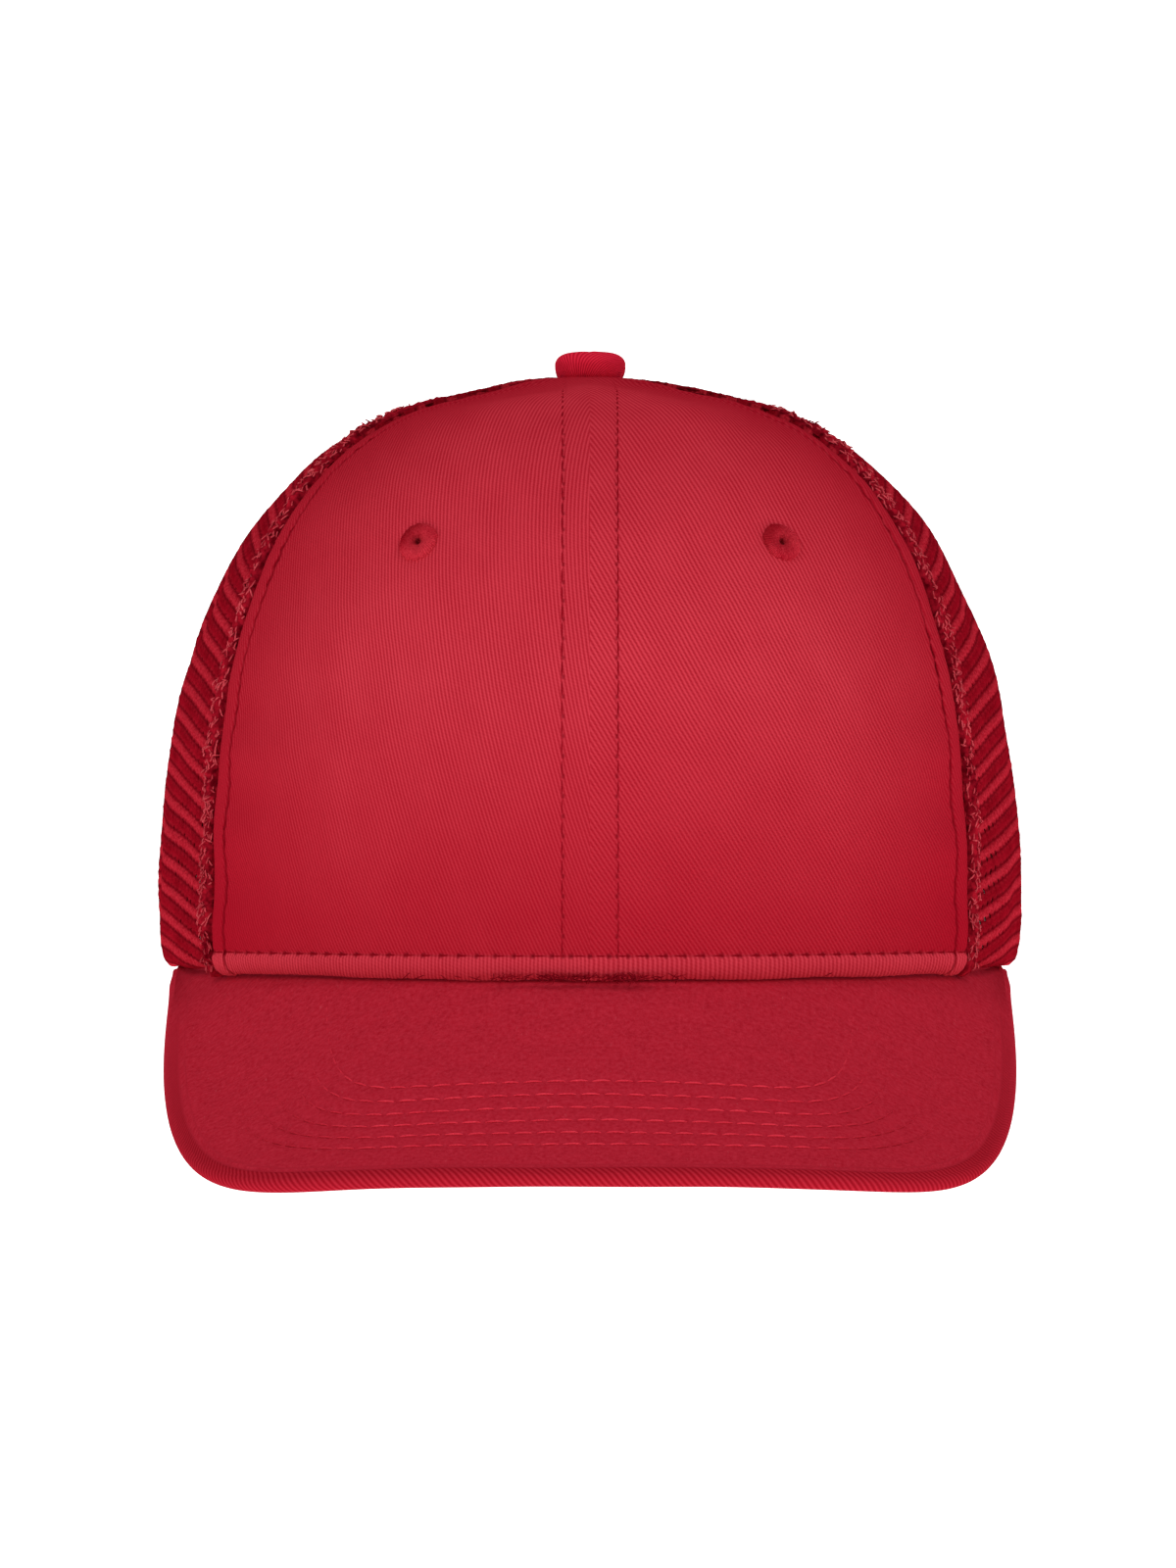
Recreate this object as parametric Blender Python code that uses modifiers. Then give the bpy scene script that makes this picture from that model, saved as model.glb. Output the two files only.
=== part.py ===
"""Six-panel trucker cap with a curved visor and a plastic snap closure.

The origin is the centre of the head opening, +Z is up and the visor points to -Y. The crown is a surface
of two numbers: an angle round the head, 0 at the forehead and growing towards the wearer's left (+X), and
a share from 0 at the rim to 1 at the apex. Every layer of cloth is a sheet laid at its own depth under
that surface and thickened.
"""

from math import asin, atan2, cos, pi, radians, sin, sqrt

import bmesh
import bpy
from mathutils import Matrix, Vector

# Crown, in metres.
HALF_WIDTH = 0.0878
HALF_LENGTH = 0.102
CROWN_HEIGHT = 0.120
BULGE_HEIGHT = 0.010
BULGE_SHARE = 0.06
RIM_TUCK = 0.016
TOP_FALL = 0.0014
TOP_FALL_SHARE = 0.66
SQUARENESS = 2.4
FRONT_SQUARENESS = 0.35
FRONT_SQUARENESS_CURVE = 0.10
FRONT_SEAM = radians(59)
SIDE_SEAM = radians(120)
APEX_HOLE_RADIUS = 0.0026

# Depth of each layer's outer face under the crown's surface, and its thickness.
TWILL = (0.0, 0.0006)
MESH = (0.0, 0.0008)
BACKING = (0.00095, 0.0005)
TAPE = (0.00185, 0.0005)
PADDING = (0.0031, 0.0008)
SWEATBAND = (0.0043, 0.0007)
STRAP_TAB = (0.0022, 0.0012)
LABEL = (0.00185, 0.0003)
HALF_SEAM_GAP = 0.0002
TAPE_HALF_WIDTH = 0.007
TAPE_END_RADIUS = 0.016
SWEATBAND_HEIGHT = 0.031
SWEATBAND_END = radians(147.5)
PADDING_END = radians(70)
PADDING_HEIGHTS = (0.003, 0.027)
LABEL_ANGLES = (radians(14), radians(30))
LABEL_HEIGHTS = (0.038, 0.054)

# Eyelets.
EYELET_ANGLE_LEFT = radians(30.2)
EYELET_ANGLE_RIGHT = radians(26.7)
EYELET_HEIGHT = 0.085
EYELET_HOLE_RADIUS = 0.0029
EYELET_CUT_LENGTH = 0.01

# Opening at the back, and the tape folded over its edge.
ARCH_RADIUS = 0.044
ARCH_STILT = 0.012
ARCH_CUT_LENGTH = 0.08
ARCH_CUT_Y = 0.09
BINDING_WIDTH = 0.007
BINDING_THICKNESS = 0.0005
BINDING_CLEARANCE = 0.00045

# Visor.
VISOR_TIP_ANGLE = radians(80)
VISOR_INSET = 0.0032
VISOR_GAP = 0.0004
VISOR_HALF_WIDTH = 0.0834
VISOR_TIP_Y = -0.019
VISOR_REACH = 0.1395
VISOR_CORNER = 4.0
VISOR_DROP = 0.0353
VISOR_FIRST_SLOPE = 1.28
VISOR_SIDE_DROOP = 2.0
VISOR_THICKNESS = 0.0032
VISOR_TOP = (0.0, 0.0006)
VISOR_BOARD = (0.00095, 0.0014)
VISOR_UNDER = (0.0027, 0.0005)
VISOR_LIP_TURN = radians(120)
BOARD_INSET = 0.0012
UNDER_INSET = 0.0008

# Button.
BUTTON_RADIUS = 0.0072
BUTTON_MID_HEIGHT = CROWN_HEIGHT + 0.0024
BUTTON_RISE = 0.0027
BUTTON_FALL = 0.0028
BUTTON_CLOTH = 0.0005
DOME_POWER = 0.55
COVER_LOWEST = radians(-55)
SHELL_LOWEST = radians(-35)
SHELL_INSET = 0.0009
RIVET_POST_RADIUS = 0.0016
RIVET_BASE_RADIUS = 0.006
RIVET_BASE_THICKNESS = 0.0008
RIVET_BASE_TOP = CROWN_HEIGHT - 0.0022
RIVET_TOP = CROWN_HEIGHT + 0.0033
RIVET_CHAMFER = 0.0003

# Snap closure: two straps on one arc, the one with holes outside.
STRAP_ARC_RADIUS = 0.105
STRAP_HALF_GAP = 0.0002
STRAP_THICKNESS = 0.0012
STRAP_MID_HEIGHT = 0.011
STRAP_HALF_HEIGHT = 0.009
STRAP_CORNER = 0.005
STRAP_TIP = 0.0245
TAB_ANGLES = (radians(139), radians(151.3))
HINGE_GAP = 0.0004
PEG_COUNT = 7
PEG_PITCH = 0.0095
PEG_RADIUS = 0.0019
PEG_STAND = 0.0026
PEG_TAPER = 0.85
PEGS_PAST_HOLES = 2
HOLE_RADIUS = 0.0031
HOLE_CUT_LENGTH = 0.006

# Fineness of the solids, and of the sums that find places on the surfaces.
ROUND_SIDES = 20
DOME_ROWS = 7
SMALL_ROUND_SIDES = 16
ARCH_SIDES = 48
BULGE_ROWS = 2
CROWN_ROWS = 12
COLUMN_ANGLE = radians(7.4)
VISOR_COLUMNS = 28
VISOR_ROWS = 7
LIP_ROWS = 3
STRAP_COLUMNS = 14
CORNER_ROWS = 4
SURFACE_STEP = 1e-4
ANGLE_ROUNDS = 8
CREASE = radians(35)

CAP_COLOUR = (0.42, 0.018, 0.03, 1)
MESH_COLOUR = (0.36, 0.012, 0.02, 1)
PLASTIC_COLOUR = (0.40, 0.012, 0.02, 1)
WHITE_COLOUR = (0.75, 0.73, 0.68, 1)
STEEL_COLOUR = (0.62, 0.62, 0.63, 1)


# Scene and materials


def clear_scene():
    for obj in list(bpy.data.objects):
        bpy.data.objects.remove(obj, do_unlink=True)


def new_collection(name, hidden=False):
    made = bpy.data.collections.new(name)
    made.hide_render = hidden
    bpy.context.scene.collection.children.link(made)
    return made


def finish(name, colour, roughness, metallic=0.0):
    material = bpy.data.materials.new(name)
    material.use_nodes = True
    shader = material.node_tree.nodes["Principled BSDF"]
    shader.inputs["Base Color"].default_value = colour
    shader.inputs["Roughness"].default_value = roughness
    shader.inputs["Metallic"].default_value = metallic
    material.diffuse_color = colour
    return material


def add_object(name, bm, material, collection):
    mesh = bpy.data.meshes.new(name)
    bm.to_mesh(mesh)
    bm.free()
    mesh.shade_smooth()
    mesh.set_sharp_from_angle(angle=CREASE)
    mesh.materials.append(material)
    obj = bpy.data.objects.new(name, mesh)
    collection.objects.link(obj)
    return obj


def steps(first, last, count):
    """count + 1 values from first to last."""
    return [first + (last - first) * k / count for k in range(count + 1)]


def sheet(name, across, along, place, thickness, material, collection):
    """A grid laid on a surface by place(a, b) and thickened on the side away from its normals."""
    bm = bmesh.new()
    columns = len(across) - 1
    rows = len(along) - 1
    bmesh.ops.create_grid(bm, x_segments=columns, y_segments=rows, size=0.5)
    for vert in bm.verts:
        column = round((vert.co.x + 0.5) * columns)
        row = round((vert.co.y + 0.5) * rows)
        vert.co = place(across[column], along[row])
    obj = add_object(name, bm, material, collection)
    solidify = obj.modifiers.new("thickness", "SOLIDIFY")
    solidify.thickness = thickness
    solidify.offset = -1
    return obj


def turned(name, outline, sides, material, collection, closed=False):
    """A profile of (radius, height) points turned about Z."""
    bm = bmesh.new()
    verts = [bm.verts.new((radius, 0, height)) for radius, height in outline]
    for first, second in zip(verts, verts[1:], strict=False):
        bm.edges.new((first, second))
    if closed:
        bm.edges.new((verts[-1], verts[0]))
    obj = add_object(name, bm, material, collection)
    screw = obj.modifiers.new("turn", "SCREW")
    screw.steps = sides
    screw.render_steps = sides
    screw.use_merge_vertices = True
    screw.merge_threshold = 0.00001
    screw.use_smooth_shade = True
    return obj


def rods(name, places, radius_low, radius_high, length, collection):
    """One object of round rods, each centred on its place's origin and lying along its Z."""
    bm = bmesh.new()
    for place in places:
        bmesh.ops.create_cone(
            bm,
            cap_ends=True,
            segments=SMALL_ROUND_SIDES,
            radius1=radius_low,
            radius2=radius_high,
            depth=length,
            matrix=place,
        )
    obj = add_object(name, bm, finish(name, STEEL_COLOUR, 0.5), collection)
    obj.hide_render = True
    obj.display_type = "WIRE"
    return obj


def combine(obj, other, operation):
    boolean = obj.modifiers.new(operation.lower(), "BOOLEAN")
    boolean.operation = operation
    boolean.solver = "EXACT"
    boolean.object = other


def standing(point, axis):
    """The placement whose origin is at the point and whose Z is the axis."""
    turn = axis.to_track_quat("Z", "Y").to_matrix().to_4x4()
    return Matrix.Translation(point) @ turn


# Crown surface


def squareness(angle):
    """The exponent of the crown's profile: squarer over the forehead, rounder at the back."""
    forward = cos(angle)
    return SQUARENESS + FRONT_SQUARENESS * forward + FRONT_SQUARENESS_CURVE * forward**2


def crown_profile(angle, share):
    """How wide the crown is, as a share of its widest ring, and how high.

    Between the button and the crown's shoulder the top falls away a little.
    """
    if share < BULGE_SHARE:
        down = 1 - share / BULGE_SHARE
        return 1 - RIM_TUCK * sin(angle) ** 2 * down**2, BULGE_HEIGHT * (1 - down)
    turn = (share - BULGE_SHARE) / (1 - BULGE_SHARE) * pi / 2
    power = squareness(angle)
    out = (abs(cos(turn)) ** power + sin(turn) ** power) ** (-1 / power)
    wide = out * cos(turn)
    fall = TOP_FALL * sin(pi * min(wide / TOP_FALL_SHARE, 1.0)) ** 2
    return wide, BULGE_HEIGHT + out * sin(turn) * (CROWN_HEIGHT - BULGE_HEIGHT) - fall


def share_at(angle, height):
    """The share at which the crown has this height, up to its shoulder."""
    if height < BULGE_HEIGHT:
        return BULGE_SHARE * height / BULGE_HEIGHT
    up = (height - BULGE_HEIGHT) / (CROWN_HEIGHT - BULGE_HEIGHT)
    power = squareness(angle)
    out = (1 - up**power) ** (1 / power)
    return BULGE_SHARE + (1 - BULGE_SHARE) * atan2(up, out) / (pi / 2)


def share_at_radius(radius):
    """The share near the apex at which the crown has this half-width."""
    return 1 - (1 - BULGE_SHARE) * (radius / HALF_WIDTH) / (pi / 2)


def crown_point(angle, share):
    wide, height = crown_profile(angle, share)
    return Vector((HALF_WIDTH * wide * sin(angle), -HALF_LENGTH * wide * cos(angle), height))


def crown_normal(angle, share):
    low = max(share - SURFACE_STEP, 0.0)
    after = crown_point(angle + SURFACE_STEP, share)
    round_head = after - crown_point(angle - SURFACE_STEP, share)
    upwards = crown_point(angle, low + 2 * SURFACE_STEP) - crown_point(angle, low)
    return round_head.cross(upwards).normalized()


def under_crown(angle, share, depth):
    return crown_point(angle, share) - crown_normal(angle, share) * depth


def angle_per_metre(angle, share):
    """How much the angle grows for each metre walked round the crown at this share."""
    after = crown_point(angle + SURFACE_STEP, share)
    walked = (after - crown_point(angle - SURFACE_STEP, share)).length
    return 2 * SURFACE_STEP / walked


def crown_rows(lowest, highest):
    """Shares from the lowest to the highest, the same ones in every layer so that layers stay apart."""
    common = steps(0, BULGE_SHARE, BULGE_ROWS) + steps(BULGE_SHARE, 1, CROWN_ROWS)[1:]
    return [lowest] + [share for share in common if lowest < share < highest] + [highest]


def back_angle_at(x, height):
    """The angle of the point on the back of the crown with this x and this height."""
    angle = pi
    for _ in range(ANGLE_ROUNDS):
        wide = crown_profile(angle, share_at(angle, height))[0]
        angle = pi - asin(x / (HALF_WIDTH * wide))
    return angle


# Crown pieces


def panel(name, first_seam, last_seam, layer, material, collection):
    """One of the crown's panels, or a panel's backing, between two seams."""
    depth, thickness = layer

    def place(part, share):
        middle = (first_seam + last_seam) / 2
        gap = HALF_SEAM_GAP * angle_per_metre(middle, share)
        angle = first_seam + gap + (last_seam - first_seam - 2 * gap) * part
        return under_crown(angle, share, depth)

    shares = crown_rows(0, share_at_radius(APEX_HOLE_RADIUS))
    columns = round((last_seam - first_seam) / COLUMN_ANGLE)
    return sheet(name, steps(0, 1, columns), shares, place, thickness, material, collection)


def seam_tape(name, seam, lowest, material, collection):
    """A strip of tape inside the crown, centred on a seam, from a height up to near the apex."""
    depth, thickness = TAPE

    def place(offset, share):
        angle = seam + offset * angle_per_metre(seam, share)
        return under_crown(angle, share, depth)

    shares = crown_rows(share_at(seam, lowest), share_at_radius(TAPE_END_RADIUS))
    across = steps(-TAPE_HALF_WIDTH, TAPE_HALF_WIDTH, 2)
    return sheet(name, across, shares, place, thickness, material, collection)


def band(name, angles, heights, layer, material, collection):
    """A band between two heights under the crown's surface."""
    depth, thickness = layer

    def place(angle, share):
        return under_crown(angle, share, depth)

    middle = sum(angles) / 2
    shares = crown_rows(*(share_at(middle, height) for height in heights))
    columns = max(2, round((angles[1] - angles[0]) / COLUMN_ANGLE))
    return sheet(name, steps(*angles, columns), shares, place, thickness, material, collection)


def arch_binding(material, collection):
    """Tape folded over the edge of the rear opening: an outer leg, a turn and an inner leg."""
    outside = BINDING_CLEARANCE + BINDING_THICKNESS
    inside = MESH[1] + outside
    fold = (
        (BINDING_WIDTH, outside),
        (0.0, outside),
        (-outside, 0.0),
        (-outside, -MESH[1]),
        (0.0, -inside),
        (BINDING_WIDTH, -inside),
    )

    def place(turn, row):
        beyond, lift = fold[row]
        radius = ARCH_RADIUS + beyond
        bend = min(max(turn, 0), pi)
        height = ARCH_STILT + radius * sin(bend) - ARCH_RADIUS * abs(turn - bend)
        angle = back_angle_at(radius * cos(bend), height)
        share = share_at(angle, height)
        return crown_point(angle, share) + crown_normal(angle, share) * lift

    rows = range(len(fold) - 1, -1, -1)
    stilt = ARCH_STILT / ARCH_RADIUS
    turns = [-stilt] + steps(0, pi, ARCH_SIDES // 2) + [pi + stilt]
    return sheet(
        "rear_arch_binding", turns, list(rows), place, BINDING_THICKNESS, material, collection
    )


def arch_cutters(collection):
    """The rear opening: a round rod through the back of the crown, and a box below it."""
    centre = Vector((0, ARCH_CUT_Y, ARCH_STILT))
    rod_bm = bmesh.new()
    bmesh.ops.create_cone(
        rod_bm,
        cap_ends=True,
        segments=ARCH_SIDES,
        radius1=ARCH_RADIUS,
        radius2=ARCH_RADIUS,
        depth=ARCH_CUT_LENGTH,
        matrix=standing(centre, Vector((0, 1, 0))),
    )
    box_bm = bmesh.new()
    size = Matrix.Diagonal((2 * ARCH_RADIUS, ARCH_CUT_LENGTH, 2 * ARCH_STILT, 1))
    low_centre = centre - Vector((0, 0, ARCH_STILT))
    bmesh.ops.create_cube(box_bm, size=1, matrix=Matrix.Translation(low_centre) @ size)
    made = []
    for name, bm in (("arch_rod", rod_bm), ("arch_box", box_bm)):
        cutter = add_object(name, bm, finish(name, STEEL_COLOUR, 0.5), collection)
        cutter.hide_render = True
        cutter.display_type = "WIRE"
        made.append(cutter)
    return made


def eyelet_place(side):
    angle = EYELET_ANGLE_LEFT if side > 0 else -EYELET_ANGLE_RIGHT
    share = share_at(angle, EYELET_HEIGHT)
    return standing(crown_point(angle, share), crown_normal(angle, share))


def eyelet(name, side, material, collection):
    """An overcast ring on both faces of the panel, joined through its hole."""
    outline = (
        (0.0012, 0.0010),
        (0.0024, 0.00115),
        (0.0036, 0.00095),
        (0.00415, 0.0006),
        (0.00415, 0.0004),
        (0.0025, 0.0004),
        (0.0025, -0.0024),
        (0.0036, -0.0024),
        (0.0036, -0.0028),
        (0.0016, -0.0029),
        (0.0007, -0.0006),
    )
    ring = turned(name, outline, SMALL_ROUND_SIDES, material, collection, closed=True)
    ring.matrix_world = eyelet_place(side)
    return ring


# Visor


def visor_inner(turn):
    """The visor's inner edge, tucked just under the crown's rim."""
    angle = turn * VISOR_TIP_ANGLE
    half_width = HALF_WIDTH * (1 - RIM_TUCK) - VISOR_INSET
    half_length = HALF_LENGTH - VISOR_INSET
    return half_width * sin(angle), -half_length * cos(angle)


def visor_outer(turn):
    """The visor's outline, and how far forward of the tips it is, from 0 to 1."""
    angle = turn * pi / 2
    out = (abs(sin(angle)) ** VISOR_CORNER + abs(cos(angle)) ** VISOR_CORNER) ** (-1 / VISOR_CORNER)
    forward = out * cos(angle)
    return VISOR_HALF_WIDTH * out * sin(angle), VISOR_TIP_Y - VISOR_REACH * forward, forward


def visor_point(turn, out):
    """The top surface: turn from -1 to 1 across the visor, out from 0 at the crown to 1 at the edge."""
    inner_x, inner_y = visor_inner(turn)
    outer_x, outer_y, forward = visor_outer(turn)
    edge_drop = forward + VISOR_SIDE_DROOP * forward**3 * (1 - forward)
    fall = VISOR_FIRST_SLOPE * out + (1 - VISOR_FIRST_SLOPE) * out**2
    return Vector(
        (
            inner_x + (outer_x - inner_x) * out,
            inner_y + (outer_y - inner_y) * out,
            -VISOR_GAP - VISOR_DROP * edge_drop * fall,
        )
    )


def visor_frame(turn, out):
    """The direction outwards, square to the outline, and the surface's upward normal."""
    side = visor_point(turn + SURFACE_STEP, out) - visor_point(turn - SURFACE_STEP, out)
    spoke = visor_point(turn, out + SURFACE_STEP) - visor_point(turn, out - SURFACE_STEP)
    normal = side.cross(-spoke).normalized()
    return normal.cross(-side).normalized(), normal


def visor_sheet(name, layer, material, collection, inset=0.0, turned_edge=()):
    """A layer of the visor that stops short of the outline by the inset, or turns down round the edge."""
    depth, thickness = layer
    bead = VISOR_THICKNESS / 2

    def place(turn, row):
        if row <= 1:
            reach = (visor_point(turn, 1) - visor_point(turn, 0)).length
            out = row * (1 - inset / reach)
            return visor_point(turn, out) - visor_frame(turn, out)[1] * depth
        bend = row - 1
        outwards, normal = visor_frame(turn, 1)
        return visor_point(turn, 1) + outwards * bead * sin(bend) - normal * bead * (1 - cos(bend))

    rows = [1 + bend for bend in reversed(turned_edge)] + steps(1, 0, VISOR_ROWS)
    turns = steps(-1, 1, VISOR_COLUMNS)
    return sheet(name, turns, rows, place, thickness, material, collection)


# Button


def dome(inset, lowest):
    """A flattened dome's profile, from its top down to a share of its underside."""
    radius = BUTTON_RADIUS - inset
    outline = []
    for turn in steps(pi / 2, lowest, DOME_ROWS):
        rise = BUTTON_RISE if turn > 0 else BUTTON_FALL
        height = BUTTON_MID_HEIGHT + (rise - inset) * sin(turn)
        outline.append((radius * max(cos(turn), 0.0) ** DOME_POWER, height))
    return outline


def button_part(name, inset, lowest, material, collection):
    shell = turned(name, dome(inset, lowest), ROUND_SIDES, material, collection)
    solidify = shell.modifiers.new("thickness", "SOLIDIFY")
    solidify.thickness = BUTTON_CLOTH
    solidify.offset = -1
    return shell


def button_rivet(material, collection):
    base_bottom = RIVET_BASE_TOP - RIVET_BASE_THICKNESS
    outline = (
        (0.0, RIVET_TOP),
        (RIVET_POST_RADIUS - RIVET_CHAMFER, RIVET_TOP),
        (RIVET_POST_RADIUS, RIVET_TOP - RIVET_CHAMFER),
        (RIVET_POST_RADIUS, RIVET_BASE_TOP),
        (RIVET_BASE_RADIUS, RIVET_BASE_TOP),
        (RIVET_BASE_RADIUS, base_bottom + RIVET_CHAMFER),
        (RIVET_BASE_RADIUS - RIVET_CHAMFER, base_bottom),
        (0.0, base_bottom),
    )
    return turned("button_rivet", outline, ROUND_SIDES, material, collection)


# Snap closure


def tab_edge():
    """The middle of the edge of the left strap's sewn end."""
    angle = TAB_ANGLES[1]
    depth, thickness = STRAP_TAB
    return under_crown(angle, share_at(angle, STRAP_MID_HEIGHT), depth + thickness / 2)


def strap_arc_centre_y():
    """The closure's arc passes through both sewn ends' edges."""
    edge = tab_edge()
    return edge.y - sqrt(STRAP_ARC_RADIUS**2 - edge.x**2)


def strap_point(along, radius, height):
    """A point on the closure's arc, along from the centre towards +X."""
    turn = along / STRAP_ARC_RADIUS
    return Vector((radius * sin(turn), strap_arc_centre_y() + radius * cos(turn), height))


def strap_sheet(name, side, outer_radius, bend_radius, material, collection):
    """A free strap, from its hinge at this side of the opening to its rounded tip past the middle.

    It bends about the face at bend_radius, so that its end swings clear of the sewn part.
    """
    hinge_along = STRAP_ARC_RADIUS * asin(tab_edge().x / STRAP_ARC_RADIUS)
    hinge = strap_point(side * hinge_along, bend_radius, STRAP_MID_HEIGHT)
    pivot = bpy.data.objects.new(f"{name}_pivot", None)
    pivot.location = hinge
    collection.objects.link(pivot)
    tip = -side * STRAP_TIP
    corner_steps = [STRAP_CORNER * (1 - cos(turn)) for turn in steps(0, pi / 2, CORNER_ROWS)]
    root = hinge_along + STRAP_TIP - HINGE_GAP
    distances = corner_steps + steps(STRAP_CORNER, root, STRAP_COLUMNS)[1:]

    def place(distance, height_share):
        short = max(STRAP_CORNER - distance, 0.0)
        half = STRAP_HALF_HEIGHT - STRAP_CORNER + sqrt(STRAP_CORNER**2 - short**2)
        along = tip + side * distance
        height = STRAP_MID_HEIGHT + half * height_share
        return strap_point(along, outer_radius, height) - hinge

    heights = steps(side, -side, 2)
    strap = sheet(name, distances, heights, place, STRAP_THICKNESS, material, collection)
    strap.parent = pivot
    return strap


def strap_tab(name, side, material, collection):
    """The strap's sewn end, between the mesh and the sweatband."""
    sewn, hinge = TAB_ANGLES
    clear = HINGE_GAP * angle_per_metre(hinge, 0)
    angles = [side * angle for angle in (sewn, hinge - clear)]
    heights = (
        STRAP_MID_HEIGHT - STRAP_HALF_HEIGHT,
        STRAP_MID_HEIGHT + STRAP_HALF_HEIGHT,
    )
    return band(name, sorted(angles), heights, STRAP_TAB, material, collection)


def peg_places(first, radius):
    """Placements along the arc, PEG_PITCH apart, with Z pointing out."""
    centre = Vector((0, strap_arc_centre_y(), STRAP_MID_HEIGHT))
    places = []
    for number in range(PEG_COUNT):
        point = strap_point(first + number * PEG_PITCH, radius, STRAP_MID_HEIGHT)
        places.append(standing(point, (point - centre).normalized()))
    return places


def snap_closure(material, collection, cutters):
    """The strap with holes on the wearer's left, outside, and the strap with pegs, inside."""
    peg_face = STRAP_ARC_RADIUS - STRAP_HALF_GAP
    hole_face = STRAP_ARC_RADIUS + STRAP_HALF_GAP + STRAP_THICKNESS
    last_shared = STRAP_TIP - STRAP_CORNER
    hole_strap = strap_sheet("hole_strap", 1, hole_face, hole_face, material, collection)
    hole_places = peg_places(-last_shared, STRAP_ARC_RADIUS + STRAP_THICKNESS)
    holes = rods("holes", hole_places, HOLE_RADIUS, HOLE_RADIUS, HOLE_CUT_LENGTH, cutters)
    combine(hole_strap, holes, "DIFFERENCE")

    inner_face = peg_face - STRAP_THICKNESS
    peg_strap = strap_sheet("peg_strap", -1, peg_face, inner_face, material, collection)
    sunk = STRAP_THICKNESS / 2
    peg_length = PEG_STAND + sunk
    first_peg = -last_shared - PEG_PITCH * PEGS_PAST_HOLES
    places = peg_places(first_peg, peg_face - sunk + peg_length / 2)
    pegs = rods("pegs", places, PEG_RADIUS, PEG_RADIUS * PEG_TAPER, peg_length, cutters)
    combine(peg_strap, pegs, "UNION")

    strap_tab("hole_strap_tab", 1, material, collection)
    strap_tab("peg_strap_tab", -1, material, collection)


# The whole cap


def build():
    clear_scene()
    cap = new_collection("trucker_mesh_cap")
    cutters = new_collection("cutters", hidden=True)
    twill = finish("twill", CAP_COLOUR, 0.85)
    mesh = finish("mesh", MESH_COLOUR, 0.6)
    thread = finish("thread", CAP_COLOUR, 0.55)
    cloth_tape = finish("tape", CAP_COLOUR, 0.9)
    buckram = finish("buckram", WHITE_COLOUR, 0.95)
    plastic = finish("plastic", PLASTIC_COLOUR, 0.35)
    steel = finish("steel", STEEL_COLOUR, 0.35, metallic=1.0)
    board = finish("board", WHITE_COLOUR, 0.5)

    arch = arch_cutters(cutters)
    for side, word in ((1, "left"), (-1, "right")):
        hole_place = eyelet_place(side)
        radius = EYELET_HOLE_RADIUS
        cut = EYELET_CUT_LENGTH
        hole = rods(f"eyelet_hole_{word}", [hole_place], radius, radius, cut, cutters)
        front_seams = sorted((0, side * FRONT_SEAM))
        for name, layer, material in (
            ("front_panel", TWILL, twill),
            ("front_backing", BACKING, buckram),
        ):
            piece = panel(f"{name}_{word}", *front_seams, layer, material, cap)
            combine(piece, hole, "DIFFERENCE")
        side_seams = sorted((side * FRONT_SEAM, side * SIDE_SEAM))
        back_seams = sorted((side * SIDE_SEAM, side * pi))
        panel(f"side_mesh_{word}", *side_seams, MESH, mesh, cap)
        back = panel(f"back_mesh_{word}", *back_seams, MESH, mesh, cap)
        for cutter in arch:
            combine(back, cutter, "DIFFERENCE")
        seam_tape(f"front_side_tape_{word}", side * FRONT_SEAM, 0, cloth_tape, cap)
        seam_tape(f"back_side_tape_{word}", side * SIDE_SEAM, 0, cloth_tape, cap)
        eyelet(f"eyelet_{word}", side, thread, cap)
    seam_tape("front_center_tape", 0, 0, cloth_tape, cap)
    above_arch = ARCH_STILT + ARCH_RADIUS + BINDING_WIDTH + HINGE_GAP
    seam_tape("back_center_tape", pi, above_arch, cloth_tape, cap)
    arch_binding(cloth_tape, cap)

    band(
        "sweatband",
        (-SWEATBAND_END, SWEATBAND_END),
        (0, SWEATBAND_HEIGHT),
        SWEATBAND,
        cloth_tape,
        cap,
    )
    padding_angles = (-PADDING_END, PADDING_END)
    band("sweatband_padding", padding_angles, PADDING_HEIGHTS, PADDING, buckram, cap)
    band("size_label", LABEL_ANGLES, LABEL_HEIGHTS, LABEL, buckram, cap)

    lip = steps(0, VISOR_LIP_TURN, LIP_ROWS)[1:]
    visor_sheet("visor_top_cover", VISOR_TOP, twill, cap, turned_edge=lip)
    visor_sheet("visor_board", VISOR_BOARD, board, cap, inset=BOARD_INSET)
    visor_sheet("visor_under_cover", VISOR_UNDER, twill, cap, inset=UNDER_INSET)

    button_part("button_cover", 0.0, COVER_LOWEST, twill, cap)
    button_part("button_shell", SHELL_INSET, SHELL_LOWEST, steel, cap)
    button_rivet(steel, cap)
    snap_closure(plastic, cap, cutters)


build()
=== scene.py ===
"""The looks of a trucker mesh cap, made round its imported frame.

Lengths are metres. +Z is up, the visor points to -Y and the wearer's left is +X. Cloth on the crown is laid
by an angle round the head, 0 at the forehead, and by the way up from the hem along the crown's surface.
"""

from math import cos, pi, radians, sin, sqrt

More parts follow.
